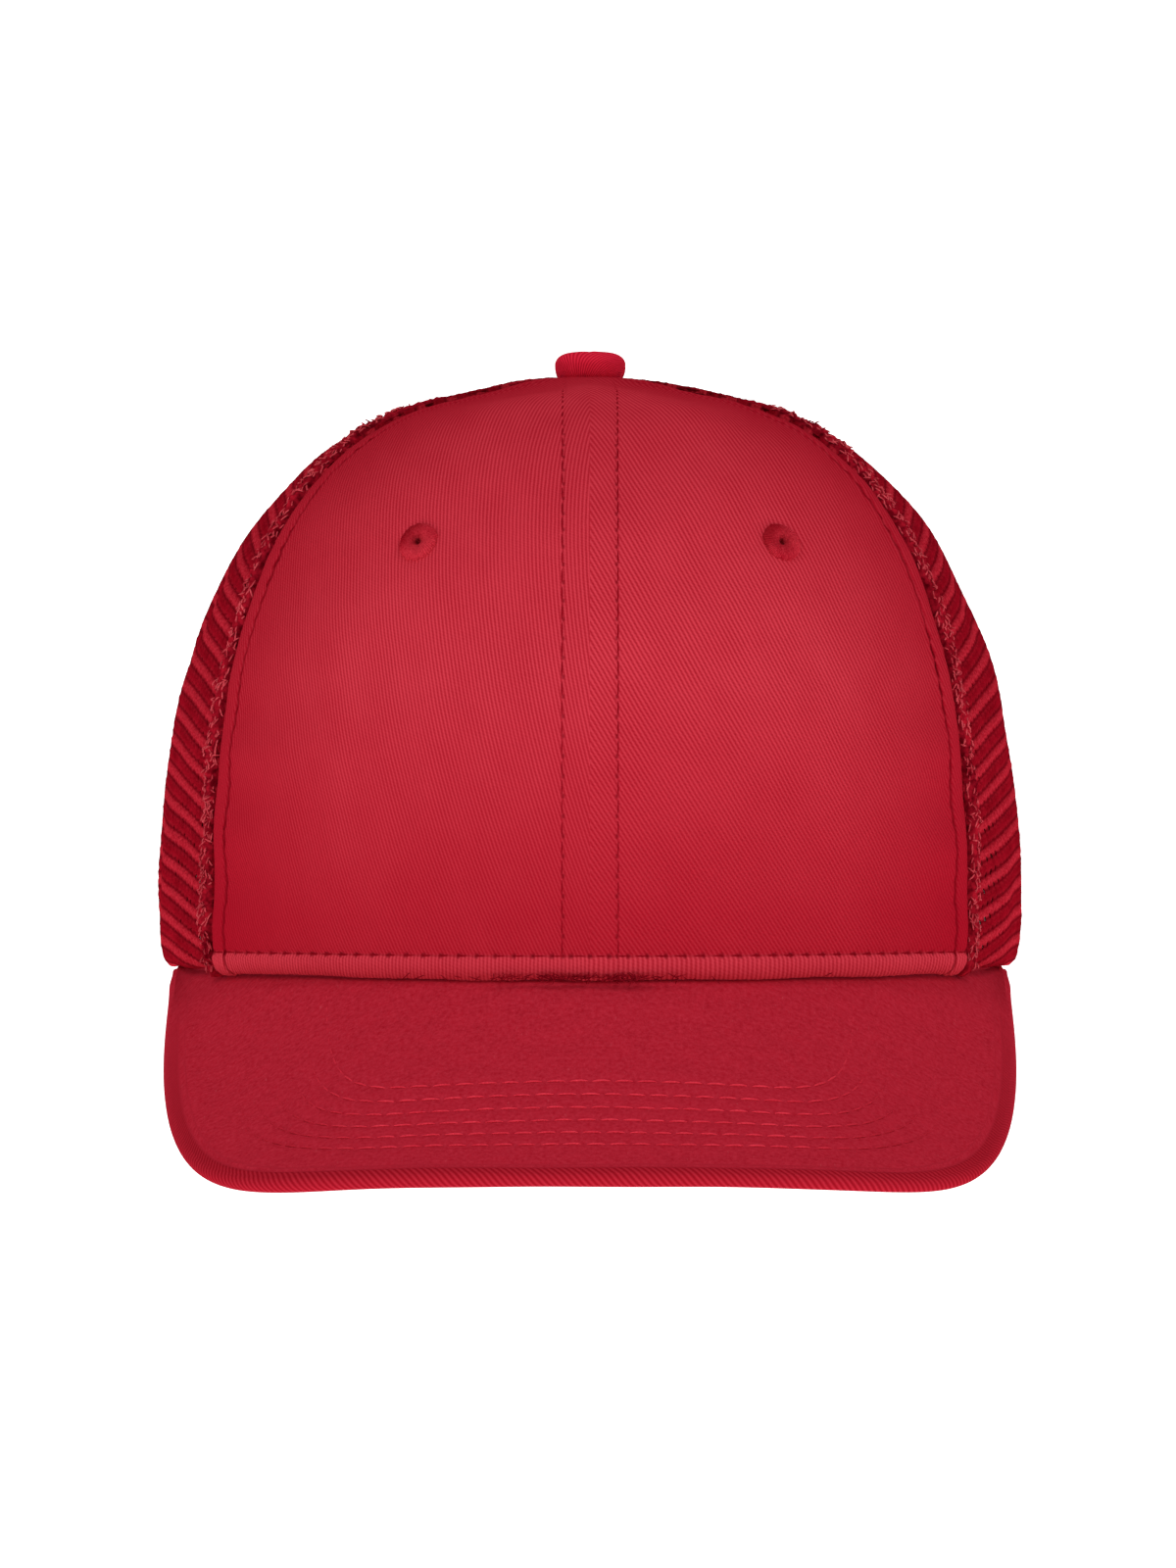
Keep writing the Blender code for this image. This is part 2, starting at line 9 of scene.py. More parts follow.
import bpy
import numpy as np
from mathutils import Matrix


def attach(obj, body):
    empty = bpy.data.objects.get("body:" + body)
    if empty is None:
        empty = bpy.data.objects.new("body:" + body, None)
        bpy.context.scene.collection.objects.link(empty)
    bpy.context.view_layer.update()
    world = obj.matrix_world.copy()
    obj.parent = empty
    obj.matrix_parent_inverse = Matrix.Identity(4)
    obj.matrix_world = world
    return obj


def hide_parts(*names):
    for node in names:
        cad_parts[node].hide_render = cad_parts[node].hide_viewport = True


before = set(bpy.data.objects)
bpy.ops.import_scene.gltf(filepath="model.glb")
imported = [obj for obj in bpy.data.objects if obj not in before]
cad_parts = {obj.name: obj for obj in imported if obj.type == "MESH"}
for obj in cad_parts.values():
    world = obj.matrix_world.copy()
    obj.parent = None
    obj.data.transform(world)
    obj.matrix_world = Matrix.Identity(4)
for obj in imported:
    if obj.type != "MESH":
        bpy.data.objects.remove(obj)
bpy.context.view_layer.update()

MM = 0.001

# Crown, the same surface as the solids'.
HALF_WIDTH = 0.0878
HALF_LENGTH = 0.102
CROWN_HEIGHT = 0.120
BULGE_HEIGHT = 0.010
BULGE_SHARE = 0.06
RIM_TUCK = 0.016
TOP_FALL = 0.0014
TOP_FALL_SHARE = 0.66
SQUARENESS = 2.4
FRONT_SQUARENESS = 0.35
FRONT_SQUARENESS_CURVE = 0.10
FRONT_SEAM = radians(59)
SIDE_SEAM = radians(120)
HEM_ROLL = 2.2 * MM
HEM_DROOP = 0.5 * MM
APEX_PRESS = 0.1 * MM

TWILL_THICKNESS = 0.6 * MM
NET_THICKNESS = 0.8 * MM
NET_ROW = 2.95 * MM
CREASE = radians(40)

# Stitching on the front panels: distances from the seams, and each stitch's pitch, length and radius.
CENTRE_STITCH = 5.5 * MM
SIDE_STITCH = 5.0 * MM
BASE_STITCH = 3.8 * MM - HEM_ROLL
CROWN_STITCH = (3.9 * MM, 3.3 * MM, 0.17 * MM)

# Visor, the same surface as the solids'.
VISOR_TIP_ANGLE = radians(80)
VISOR_INSET = 3.2 * MM
VISOR_GAP = 0.4 * MM
VISOR_HALF_WIDTH = 0.0834
VISOR_TIP_Y = -0.019
VISOR_REACH = 0.1395
VISOR_CORNER = 4.0
ROW_CORNER_GROWTH = 4000
ROW_RISE = 0.14
VISOR_DROP = 0.0353
VISOR_FIRST_SLOPE = 1.28
VISOR_SIDE_DROOP = 2.0
VISOR_THICKNESS = 3.2 * MM
VISOR_ROWS = [10.5 * MM + 4.2 * MM * row for row in range(6)]
VISOR_STITCH = (4.4 * MM, 3.5 * MM, 0.25 * MM)

CAP_LIGHT = (0.69, 0.050, 0.076)
CAP_DARK = (0.43, 0.012, 0.025)


# Small sums


def smooth(low, high, value):
    """0 below low, 1 above high and a soft step between."""
    part = np.clip((value - low) / (high - low), 0, 1)
    return part * part * (3 - 2 * part)


def ridge(value, middle, width):
    return np.exp(-(((value - middle) / width) ** 2))


def unit(vectors):
    return vectors / np.maximum(np.linalg.norm(vectors, axis=-1, keepdims=True), 1e-12)


def ripple(u, v, size, seed, waves=7):
    """A smooth uneven surface between about -1 and 1, with bumps of about this size."""
    random = np.random.default_rng(seed)
    total = np.zeros(np.broadcast(u, v).shape)
    for turn, phase, stretch in random.random((waves, 3)):
        way = turn * 2 * pi
        wave = 2 * pi / (size * (0.7 + 0.8 * stretch))
        total += np.sin(wave * (u * cos(way) + v * sin(way)) + phase * 2 * pi)
    return total / sqrt(waves)


# Crown surface


def squareness(angle):
    forward = np.cos(angle)
    return SQUARENESS + FRONT_SQUARENESS * forward + FRONT_SQUARENESS_CURVE * forward**2


def crown_profile(angle, share):
    power = squareness(angle)
    turn = np.clip((share - BULGE_SHARE) / (1 - BULGE_SHARE), 0, 1) * pi / 2
    out = (np.cos(turn) ** power + np.sin(turn) ** power) ** (-1 / power)
    down = np.clip(1 - share / BULGE_SHARE, 0, None)
    wide = out * np.cos(turn) * (1 - RIM_TUCK * np.sin(angle) ** 2 * down**2)
    height = BULGE_HEIGHT * (1 - down) + out * np.sin(turn) * (CROWN_HEIGHT - BULGE_HEIGHT)
    fall = TOP_FALL * np.sin(pi * np.minimum(wide / TOP_FALL_SHARE, 1)) ** 2
    return wide, height - fall


def share_at(angle, height):
    power = squareness(angle)
    up = np.clip((height - BULGE_HEIGHT) / (CROWN_HEIGHT - BULGE_HEIGHT), 0, 1)
    turn = np.arctan2(up, (1 - up**power) ** (1 / power)) / (pi / 2)
    low = BULGE_SHARE * np.minimum(height, BULGE_HEIGHT) / BULGE_HEIGHT
    return low + (1 - BULGE_SHARE) * turn


def share_at_radius(radius):
    return 1 - (1 - BULGE_SHARE) * (radius / HALF_WIDTH) / (pi / 2)


def crown_point(angle, share):
    wide, height = crown_profile(angle, share)
    x = HALF_WIDTH * wide * np.sin(angle)
    y = -HALF_LENGTH * wide * np.cos(angle)
    return np.stack(np.broadcast_arrays(x, y, height), axis=-1)


def crown_axes(angle, share, step=1e-4):
    """The ways round the head and up at a point of the crown, and the outward normal."""
    around = unit(crown_point(angle + step, share) - crown_point(angle - step, share))
    low = np.clip(share - step, 0, 1 - 2 * step)
    rise = unit(crown_point(angle, low + 2 * step) - crown_point(angle, low))
    return around, rise, unit(np.cross(around, rise))


def girth(angle, share, step=1e-3):
    """Metres walked round the crown for each radian of angle."""
    walked = crown_point(angle + step, share) - crown_point(angle - step, share)
    return np.linalg.norm(walked, axis=-1) / (2 * step)


TABLE_ANGLES = np.linspace(-pi, pi, 181)
TABLE_SHARES = np.linspace(0, 1, 800)


def meridian_tables():
    """The length of each meridian up to each share, and the share at each part of its length."""
    points = crown_point(TABLE_ANGLES[:, None], TABLE_SHARES[None, :])
    legs = np.linalg.norm(np.diff(points, axis=1), axis=2)
    lengths = np.concatenate([np.zeros((len(legs), 1)), np.cumsum(legs, axis=1)], axis=1)
    parts = np.linspace(0, 1, len(TABLE_SHARES))
    shares = np.array([np.interp(parts * row[-1], row, TABLE_SHARES) for row in lengths])
    return lengths, shares


MERIDIANS, MERIDIAN_SHARES = meridian_tables()


def look_up(table, angle, part):
    """A table's value at an angle and a part from 0 to 1 of its columns, between its four neighbours."""
    row = ((angle + pi) % (2 * pi)) / (2 * pi) * (len(TABLE_ANGLES) - 1)
    column = np.clip(part, 0, 1) * (table.shape[1] - 1)
    low_row = np.clip(np.floor(row).astype(int), 0, table.shape[0] - 2)
    low_column = np.clip(np.floor(column).astype(int), 0, table.shape[1] - 2)
    down, across = row - low_row, column - low_column
    first = table[low_row, low_column] * (1 - across) + table[low_row, low_column + 1] * across
    second = table[low_row + 1, low_column] * (1 - across) + table[low_row + 1, low_column + 1] * across
    return first * (1 - down) + second * down


def up_at(angle, share):
    """The way up from the hem's fold to a share of the crown."""
    return look_up(MERIDIANS, angle, share) - HEM_ROLL


def share_up(angle, up):
    whole = look_up(MERIDIANS, angle, np.ones_like(angle))
    return look_up(MERIDIAN_SHARES, angle, (up + HEM_ROLL) / whole)


def girth_up(angle, up):
    """Metres for each radian, at a way up from the hem."""
    return girth(angle, share_up(angle, np.maximum(up, 0)))


def from_apex(angle, up):
    return look_up(MERIDIANS, angle, np.ones_like(angle)) - HEM_ROLL - up


def lay(angle, up, lift=0.0):
    """Points of cloth on the crown and their normals. Below up = 0 the cloth rolls under the hem."""
    angle, up, lift = (np.asarray(a, float) for a in np.broadcast_arrays(angle, up, lift))
    lift = lift - APEX_PRESS * (1 - smooth(6 * MM, 16 * MM, from_apex(angle, up)))
    share = share_up(angle, np.maximum(up, 0))
    rise, normal = crown_axes(angle, share)[1:]
    bend = (np.maximum(-up, 0) / HEM_ROLL)[..., None]
    facing = normal * np.cos(bend) - rise * np.sin(bend)
    centre = crown_point(angle, share) - normal * HEM_ROLL
    centre = centre - HEM_DROOP * smooth(0.0, pi / 2, bend) * np.array([0, 0, 1.0])
    return centre + facing * (HEM_ROLL + lift[..., None]), facing


# Meshes


def add_mesh(name, points, faces, crease=CREASE, **patterns):
    """An object of these vertices and faces, with each pattern's coordinates kept on its vertices."""
    mesh = bpy.data.meshes.new(name)
    mesh.from_pydata(np.asarray(points).tolist(), [], np.asarray(faces).tolist())
    mesh.validate()
    mesh.shade_smooth()
    mesh.set_sharp_from_angle(angle=crease)
    for title, pattern in patterns.items():
        values = mesh.attributes.new(title, "FLOAT_VECTOR", "POINT")
        values.data.foreach_set("vector", np.asarray(pattern, np.float32).ravel())
    obj = bpy.data.objects.new(name, mesh)
    bpy.context.scene.collection.objects.link(obj)
    return obj


def open_edges(faces, count):
    """The edges, in their face's direction, that only one face uses."""
    starts = faces.ravel()
    ends = np.roll(faces, -1, axis=1).ravel()
    used = starts.astype(np.int64) * count + ends
    back = ends.astype(np.int64) * count + starts
    lone = ~np.isin(used, back)
    return starts[lone], ends[lone]


def thicken(points, normals, faces, thickness):
    """A closed shell: the faces, a copy of them below and walls along their open edges."""
    count = len(points)
    starts, ends = open_edges(faces, count)
    walls = np.stack([ends, starts, starts + count, ends + count], axis=1)
    below = points - normals * np.asarray(thickness).reshape(-1, 1)
    return np.concatenate([points, below]), np.concatenate([faces, faces[:, ::-1] + count, walls])


def grid_faces(rows, columns, closed=False):
    across = np.arange(columns if closed else columns - 1)
    row, column = np.meshgrid(np.arange(rows - 1), across, indexing="ij")
    after = (column + 1) % columns
    corners = [row * columns + column, row * columns + after]
    corners += [(row + 1) * columns + after, (row + 1) * columns + column]
    return np.stack([c.ravel() for c in corners], axis=1)


def grid_normals(points, closed=False):
    """Normals of a grid of points whose columns run round and whose rows run up."""
    if closed:
        around = np.roll(points, -1, axis=1) - np.roll(points, 1, axis=1)
    else:
        around = np.gradient(points, axis=1)
    return unit(np.cross(around, np.gradient(points, axis=0)))


def cloth(name, points, thickness, closed=False, kept=None, crease=CREASE, **patterns):
    """A sheet of cloth from a grid of points. kept says which of its faces stay, for a hole."""
    rows, columns = points.shape[:2]
    normals = grid_normals(points, closed).reshape(-1, 3)
    faces = grid_faces(rows, columns, closed)
    if kept is not None:
        faces = faces[kept[faces].all(axis=1)]
    solid, faces = thicken(points.reshape(-1, 3), normals, faces, thickness)
    used, faces = np.unique(faces, return_inverse=True)
    both = {
        title: np.tile(np.asarray(flat).reshape(-1, 3), (2, 1))[used] for title, flat in patterns.items()
    }
    return add_mesh(name, solid[used], faces.reshape(-1, 4), crease, **both)


def walk(points):
    """How far each point of a line is along it."""
    legs = np.linalg.norm(np.diff(points, axis=0), axis=1)
    return np.concatenate([[0.0], np.cumsum(legs)])


def along(line, where, at):
    return np.stack([np.interp(at, where, line[:, axis]) for axis in range(line.shape[1])], axis=1)


THREAD_SIDES = 6
THREAD_PLACES = np.array([-1, -0.93, -0.72, -0.3, 0.3, 0.72, 0.93, 1])


def thread_tubes(centres, facing, side, thick):
    """Vertices and faces of short threads, each a run of THREAD_PLACES centres with its own directions."""
    turns = np.arange(THREAD_SIDES) * 2 * pi / THREAD_SIDES
    rings = [centres + thick[:, None] * (side * cos(t) + facing * sin(t)) for t in turns]
    places = len(THREAD_PLACES)
    ring = grid_faces(places, THREAD_SIDES, closed=True)
    faces, ends = [], []
    for number in range(len(centres) // places):
        first = number * places * THREAD_SIDES
        last = first + (places - 1) * THREAD_SIDES
        faces.append(ring + first)
        ends.append([first + k for k in reversed(range(THREAD_SIDES))])
        ends.append([last + k for k in range(THREAD_SIDES)])
    return np.stack(rings, axis=1).reshape(-1, 3), np.concatenate(faces).tolist() + ends


def stitch_row(line, normals, pitch, length, radius, seed, proud=0.55):
    """A row of stitches, from the start of a line that lies on cloth."""
    random = np.random.default_rng(seed)
    where = walk(line)
    count = int(where[-1] / pitch)
    middles = pitch * (np.arange(count) + 0.5)
    middles = middles + (random.random(count) - 0.5) * 0.05 * pitch
    lengths = length * (0.95 + 0.10 * random.random(count))
    leans = (random.random(count) - 0.5) * 0.06
    at = middles[:, None] + THREAD_PLACES[None, :] * lengths[:, None] / 2
    centres = along(line, where, at.ravel())
    facing = unit(along(normals, where, at.ravel()))
    tangents = unit(along(np.gradient(line, axis=0), where, at.ravel()))
    side = unit(np.cross(facing, tangents))
    swell = np.sqrt(1 - 0.9 * THREAD_PLACES**2)
    lift = np.tile(radius * (proud + 0.9 * (swell - 1)), count)
    aside = (THREAD_PLACES[None, :] * leans[:, None] * lengths[:, None] / 2).ravel()
    centres = centres + facing * lift[:, None] + side * aside[:, None]
    return thread_tubes(centres, facing, side, np.tile(radius * swell, count))


def stitching(name, rows, material=None):
    """One piece of all these rows of stitches."""
    points, faces, start = [], [], 0
    for row_points, row_faces in rows:
        points.append(row_points)
        faces += [[index + start for index in face] for face in row_faces]
        start += len(row_points)
    points = np.concatenate(points)
    mesh = bpy.data.meshes.new(name)
    mesh.from_pydata(points.tolist(), [], faces)
    mesh.shade_smooth()
    obj = bpy.data.objects.new(name, mesh)
    bpy.context.scene.collection.objects.link(obj)
    return dress(obj, material or THREAD)


def dress(obj, material, replaces=(), body="cap"):
    """Gives a piece its material, the body it rides on and the nodes it stands for."""
    obj.data.materials.clear()
    obj.data.materials.append(material)
    if body:
        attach(obj, body)
    if replaces:
        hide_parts(*replaces)
    return obj


# Materials


class Finish:
    """A material made node by node. A value is a number, a tuple or another node's socket."""

    def __init__(self, name, roughness, sheen=0.0, specular=0.5, metallic=0.0):
        self.material = bpy.data.materials.new(name)
        self.material.use_nodes = True
        self.tree = self.material.node_tree
        self.shader = self.tree.nodes["Principled BSDF"]
        self.shader.inputs["Roughness"].default_value = roughness
        self.shader.inputs["Metallic"].default_value = metallic
        self.shader.inputs["Sheen Weight"].default_value = sheen
        self.shader.inputs["Specular IOR Level"].default_value = specular

    def set(self, socket, value):
        if isinstance(value, bpy.types.NodeSocket):
            self.tree.links.new(value, socket)
        elif isinstance(value, tuple) and len(value) == 3 and socket.type == "RGBA":
            socket.default_value = (*value, 1)
        else:
            socket.default_value = value

    def add(self, kind, *values, **settings):
        made = self.tree.nodes.new(kind)
        for key, value in settings.items():
            setattr(made, key, value)
        for index, value in enumerate(values):
            self.set(made.inputs[index], value)
        return made

    def math(self, operation, first, second=0.0):
        return self.add("ShaderNodeMath", first, second, operation=operation).outputs[0]

    def times(self, first, second):
        return self.math("MULTIPLY", first, second)

    def plus(self, first, second):
        return self.math("ADD", first, second)

    def minus(self, first, second):
        return self.math("SUBTRACT", first, second)

    def place(self, source="pattern"):
        """Coordinates kept on the piece's vertices, or the object's own in metres."""
        if source == "object":
            return self.add("ShaderNodeTexCoord").outputs["Object"]
        return self.add("ShaderNodeAttribute", attribute_name=source).outputs["Vector"]

    def split(self, vector):
        return self.add("ShaderNodeSeparateXYZ", vector).outputs

    def stretch(self, vector, scale, turn=0.0):
        made = self.add("ShaderNodeMapping", vector)
        made.inputs["Scale"].default_value = scale
        made.inputs["Rotation"].default_value = (0, 0, turn)
        return made.outputs[0]

    def noise(self, vector, size, detail=2.0, rough=0.5):
        made = self.add("ShaderNodeTexNoise", vector)
        made.inputs["Scale"].default_value = 1 / size
        made.inputs["Detail"].default_value = detail
        made.inputs["Roughness"].default_value = rough
        return made.outputs[0]

    def wave(self, across, pitch):
        """Ribs from 0 to 1, this far apart, of a number that counts metres across them."""
        return self.swing(self.times(across, 2 * pi / pitch))

    def swing(self, phase):
        """A sine, from 0 to 1."""
        return self.plus(self.times(self.math("SINE", phase), 0.5), 0.5)

    def line(self, distance, middle, width):
        """1 where a distance has this value, falling to 0 at this width to both sides of it."""
        away = self.math("ABSOLUTE", self.minus(distance, middle))
        return self.range(away, 0.0, width, 1.0, 0.0)

    def waves(self, vector, pitch, turn, wobble=0.0, wobble_size=0.004):
        """Ribs from 0 to 1, this far apart, running along the direction turned from +x by turn."""
        x, y, _ = self.split(vector)
        across = self.minus(self.times(y, cos(turn)), self.times(x, sin(turn)))
        phase = self.times(across, 2 * pi / pitch)
        if wobble:
            uneven = self.minus(self.noise(vector, wobble_size), 0.5)
            phase = self.plus(phase, self.times(uneven, wobble))
        return self.swing(phase)

    def blend(self, factor, first, second):
        made = self.add("ShaderNodeMix", data_type="RGBA")
        self.set(made.inputs["Factor"], factor)
        for socket, value in zip((s for s in made.inputs if s.type == "RGBA"), (first, second), strict=False):
            self.set(socket, value)
        return next(s for s in made.outputs if s.type == "RGBA")

    def range(self, value, low, high, new_low=0.0, new_high=1.0):
        return self.add("ShaderNodeMapRange", value, low, high, new_low, new_high).outputs[0]

    def bump(self, height, distance, strength=1.0):
        """Gives the material this relief."""
        made = self.add("ShaderNodeBump")
        made.inputs["Strength"].default_value = strength
        made.inputs["Distance"].default_value = distance
        self.set(made.inputs["Height"], height)
        self.set(self.shader.inputs["Normal"], made.outputs[0])

    def colour(self, value):
        self.set(self.shader.inputs["Base Color"], value)

    def plain(self):
        """The colour that the material has so far."""
        return self.shader.inputs["Base Color"].links[0].from_socket

    def roughness(self, value):
        self.set(self.shader.inputs["Roughness"], value)


def twill(name, pitch, seams=False, light=CAP_LIGHT, dark=CAP_DARK):
    """Cotton twill: ribs of short floats, with a faint uneven dye. The pattern's third number counts metres
    across the ribs. Where the seams are given, painted shade darkens it towards the hem, the top and the side
    seams, in its needle holes and along its stitch grooves and seams, and its hem band gets a painted
    highlight."""
    f = Finish(name, 0.9, specular=0.0)
    cloth_place = f.place()
    across = f.split(cloth_place)[2]
    uneven = f.minus(f.noise(cloth_place, 4 * MM), 0.5)
    across = f.plus(across, f.times(uneven, 0.22 * pitch))
    ribs = f.wave(across, pitch)
    floats = f.waves(cloth_place, 0.6 * MM, radians(-18), wobble=2.5, wobble_size=2 * MM)
    fibres = f.noise(f.stretch(cloth_place, (1, 0.3, 1)), 0.22 * MM, 3)
    patches = f.noise(cloth_place, 13 * MM, 3)
    height = f.plus(f.times(ribs, 0.75), f.times(floats, 0.12))
    height = f.plus(height, f.times(fibres, 0.3))
    shade = f.plus(f.times(ribs, 0.62), f.times(floats, 0.13))
    shade = f.plus(shade, f.times(fibres, 0.38))
    shade = f.plus(shade, f.times(f.minus(patches, 0.5), 0.25))
    tone = f.blend(f.range(shade, 0.18, 0.92), dark, light)
    if seams:
        centre, side, rise = (f.split(f.place("seams"))[axis] for axis in range(3))
        # Painted shade: the cloth turns darker and deeper red towards the hem, towards the top and beside the
        # side seams, where the cap's surface turns from the light. The band below the base stitching is kept
        # out of it.
        over_band = f.range(rise, BASE_STITCH - 0.2 * MM, BASE_STITCH + 0.4 * MM)
        low = f.times(f.range(rise, 8 * MM, 58 * MM, 0.60, 0.0), over_band)
        beside = f.times(f.range(side, 4 * MM, 40 * MM, 0.60, 0.0), over_band)
        tone = f.blend(low, tone, (0.43, 0.004, 0.018))
        tone = f.blend(f.range(rise, 70 * MM, 125 * MM, 0.0, 0.15), tone, (0.60, 0.0, 0.022))
        tone = f.blend(beside, tone, (0.34, 0.001, 0.011))
        # Painted highlight: the hem band below the base stitching, which bulges towards the light, is
        # lightened.
        tone = f.blend(f.times(f.minus(1.0, over_band), 0.12), tone, (0.72, 0.050, 0.080))
        # Painted shade: dark dots in the needle holes and dark lines along the stitch grooves, the centre
        # stitching and the side seam.
        pitch_of_stitches = CROWN_STITCH[0]
        above = f.minus(rise, BASE_STITCH)
        up_holes = f.range(f.math("COSINE", f.times(above, 2 * pi / pitch_of_stitches)), 0.6, 0.95)
        cross_holes = f.range(f.math("COSINE", f.times(centre, 2 * pi / pitch_of_stitches)), 0.6, 0.95)
        below_top = f.range(rise, 112 * MM, 124 * MM, 1.0, 0.0)
        centre_line = f.times(f.line(centre, CENTRE_STITCH, 0.55 * MM), below_top)
        marks = (
            (f.line(side, SIDE_STITCH, 0.55 * MM), 0.75),
            (f.times(centre_line, up_holes), 0.7),
            (centre_line, 0.12),
            (f.times(f.line(above, 0.0, 0.7 * MM), cross_holes), 0.9),
            (f.line(above, 0.0, 0.35 * MM), 0.45),
            (f.line(side, 0.0, 0.8 * MM), 0.85),
        )
        for mark, strength in marks:
            tone = f.blend(f.times(mark, strength), tone, (0.17, 0.001, 0.005))
    f.colour(tone)
    f.bump(height, 0.12 * MM, 1.0)
    return f.material


def peached(name):
    """The visor's brushed cloth, whose turned edge still shows its twill. The pattern's third number is
    1 on that edge."""
    f = Finish(name, 0.9, specular=0.0)
    place = f.place()
    edge = f.split(place)[2]
    ribs = f.waves(place, 1.0 * MM, radians(130), wobble=1.0)
    patches = f.noise(place, 4 * MM, 6, 0.72)
    fuzz = f.noise(place, 0.9 * MM, 5, 0.75)
    lint = f.range(f.noise(f.stretch(place, (1, 0.3, 1), radians(35)), 0.7 * MM, 2), 0.68, 0.80)
    base = f.blend(f.range(patches, 0.3, 0.7), (0.355, 0.0045, 0.0150), (0.470, 0.0100, 0.0260))
    base = f.blend(f.range(fuzz, 0.30, 0.72, 0.0, 0.85), base, (0.60, 0.034, 0.062))
    base = f.blend(f.times(lint, 0.22), base, (0.62, 0.13, 0.16))
    ribbed = f.blend(ribs, (0.33, 0.005, 0.014), (0.49, 0.018, 0.035))
    f.colour(f.blend(edge, base, ribbed))
    height = f.plus(f.times(fuzz, 0.7), f.times(f.times(ribs, edge), 0.8))
    f.bump(height, 0.14 * MM, 0.9)
    return f.material


def yarn(name, light, dark, roughness=0.6, size=0.35 * MM, specular=0.0):
    """Thread or net: filaments with an uneven tone, and a soft shine where a specular level is given."""
    f = Finish(name, roughness, specular=specular)
    place = f.place("object")
    tone = f.noise(place, size, 3)
    wide = f.noise(place, 6 * MM, 2)
    mixed = f.plus(f.times(tone, 0.6), f.times(wide, 0.4))
    f.colour(f.blend(f.range(mixed, 0.35, 0.65), dark, light))
    f.bump(tone, 0.06 * MM, 0.8)
    return f


def knitted(name, light, dark):
    """The net, with painted shade along its rows of holes. The pattern's third number is 1 on the rows that
    get a painted shine.
    """
    f = yarn(name, light, dark)
    _, rise, painted_shine = f.split(f.place())
    tone = f.noise(f.place("object"), 0.5 * MM, 3)
    bright = f.blend(f.range(tone, 0.35, 0.65), (0.36, 0.006, 0.016), (0.58, 0.026, 0.046))
    plain = f.plain()
    # Painted highlight: every other row is lightened, as if its strands caught the light.
    shown = f.blend(f.times(painted_shine, 0.9), plain, bright)
    # Painted shade along the rows of holes.
    from_holes = f.math("ABSOLUTE", f.math("COSINE", f.times(rise, pi / NET_ROW)))
    f.colour(f.blend(f.range(from_holes, 0.10, 0.65, 0.72, 0.0), shown, (0.10, 0.0, 0.003)))
    return f


def embroidered(name, light, dark):
    """Satin stitches round an eyelet, with painted shade between the threads' crests and at the hole's edge,
    and a painted shadow on one side. The pattern tells a thread's crest, the way out and the shadowed side.
    """
    f = yarn(name, light, dark, roughness=0.5)
    crest, out, shaded = f.split(f.place())
    plain = f.plain()
    # Painted shade between the threads' crests and at the hole's edge.
    tone = f.blend(f.range(crest, 0.1, 0.9, 0.55, 0.0), plain, dark)
    tone = f.blend(f.range(out, 0.25, 0.05, 0.0, 1.0), tone, (0.12, 0.0, 0.002))
    # Painted shadow on one side of the ring.
    f.colour(f.blend(f.times(shaded, 0.65), tone, (0.22, 0.0, 0.004)))
    return f


def folded(name, light, dark):
    """The net's edge, with painted shade darkest at the seam. The pattern's first number is the distance from
    it.
    """
    f = yarn(name, light, dark, size=0.9 * MM)
    place = f.place()
    blotches = f.range(f.noise(place, 1.6 * MM, 3), 0.30, 0.62, 1.0, 0.25)
    # Painted shade in the crease beside the seam, broken up by blotches.
    painted_seam_shade = f.range(f.split(place)[0], 0.5 * MM, 1.5 * MM, 1.0, 0.0)
    plain = f.plain()
    f.colour(f.blend(f.times(painted_seam_shade, blotches), plain, (0.06, 0.0, 0.002)))
    return f


def fade_painted_sheen(thread, cloth_colour, clear, hidden):
    """Thread whose painted highlight fades into the cloth's colour from one distance to another from the
    middle.
    """
    sideways = thread.math("ABSOLUTE", thread.split(thread.place("object"))[0])
    plain = thread.plain()
    thread.colour(thread.blend(thread.range(sideways, clear, hidden, 0.0, 0.85), plain, cloth_colour))
    return thread


def plain_weave(name, light, dark, pitch, roughness=0.9, size=0.06 * MM):
    """Woven tape, buckram or label: two sets of threads that cross."""
    f = Finish(name, roughness, sheen=0.12, specular=0.25)
    place = f.place()
    one = f.waves(place, pitch, 0.0, wobble=0.8)
    other = f.waves(place, pitch, pi / 2, wobble=0.8)
    woven = f.times(one, other)
    fibres = f.noise(place, 0.3 * MM, 3)
    shade = f.plus(f.times(woven, 0.7), f.times(fibres, 0.4))
    f.colour(f.blend(f.range(shade, 0.1, 0.9), dark, light))
    f.bump(shade, size, 0.9)
    return f.material


def moulded(name, light, dark, roughness):
    """Moulded or die-cut plastic, with faint flow marks and fine texture."""
    f = Finish(name, roughness, specular=0.5)
    place = f.place("object")
    flow = f.noise(f.stretch(place, (1, 1, 0.3)), 4 * MM, 3)
    grain = f.noise(place, 0.25 * MM, 2)
    f.colour(f.blend(f.range(flow, 0.3, 0.7), dark, light))
    f.roughness(f.range(f.noise(place, 3 * MM, 2), 0.3, 0.7, roughness - 0.08, roughness + 0.1))
    f.bump(f.plus(f.times(flow, 0.4), f.times(grain, 0.3)), 0.03 * MM, 0.6)
    return f.material


def metal(name):
    f = Finish(name, 0.38, metallic=1.0)
    place = f.place("object")
    tool_marks = f.noise(f.stretch(place, (1, 1, 8)), 1.5 * MM, 3)
    f.colour(f.blend(tool_marks, (0.52, 0.52, 0.53), (0.72, 0.72, 0.73)))
    f.roughness(f.range(tool_marks, 0.3, 0.7, 0.3, 0.5))
    f.bump(tool_marks, 0.01 * MM, 0.5)
    return f.material


def foam(name):
    f = Finish(name, 0.95, sheen=0.1, specular=0.2)
    place = f.place("object")
    cells = f.noise(place, 0.7 * MM, 3, 0.7)
    f.colour(f.blend(f.range(cells, 0.3, 0.7), (0.70, 0.66, 0.58), (0.84, 0.81, 0.74)))
    f.bump(cells, 0.2 * MM, 0.8)
    return f.material


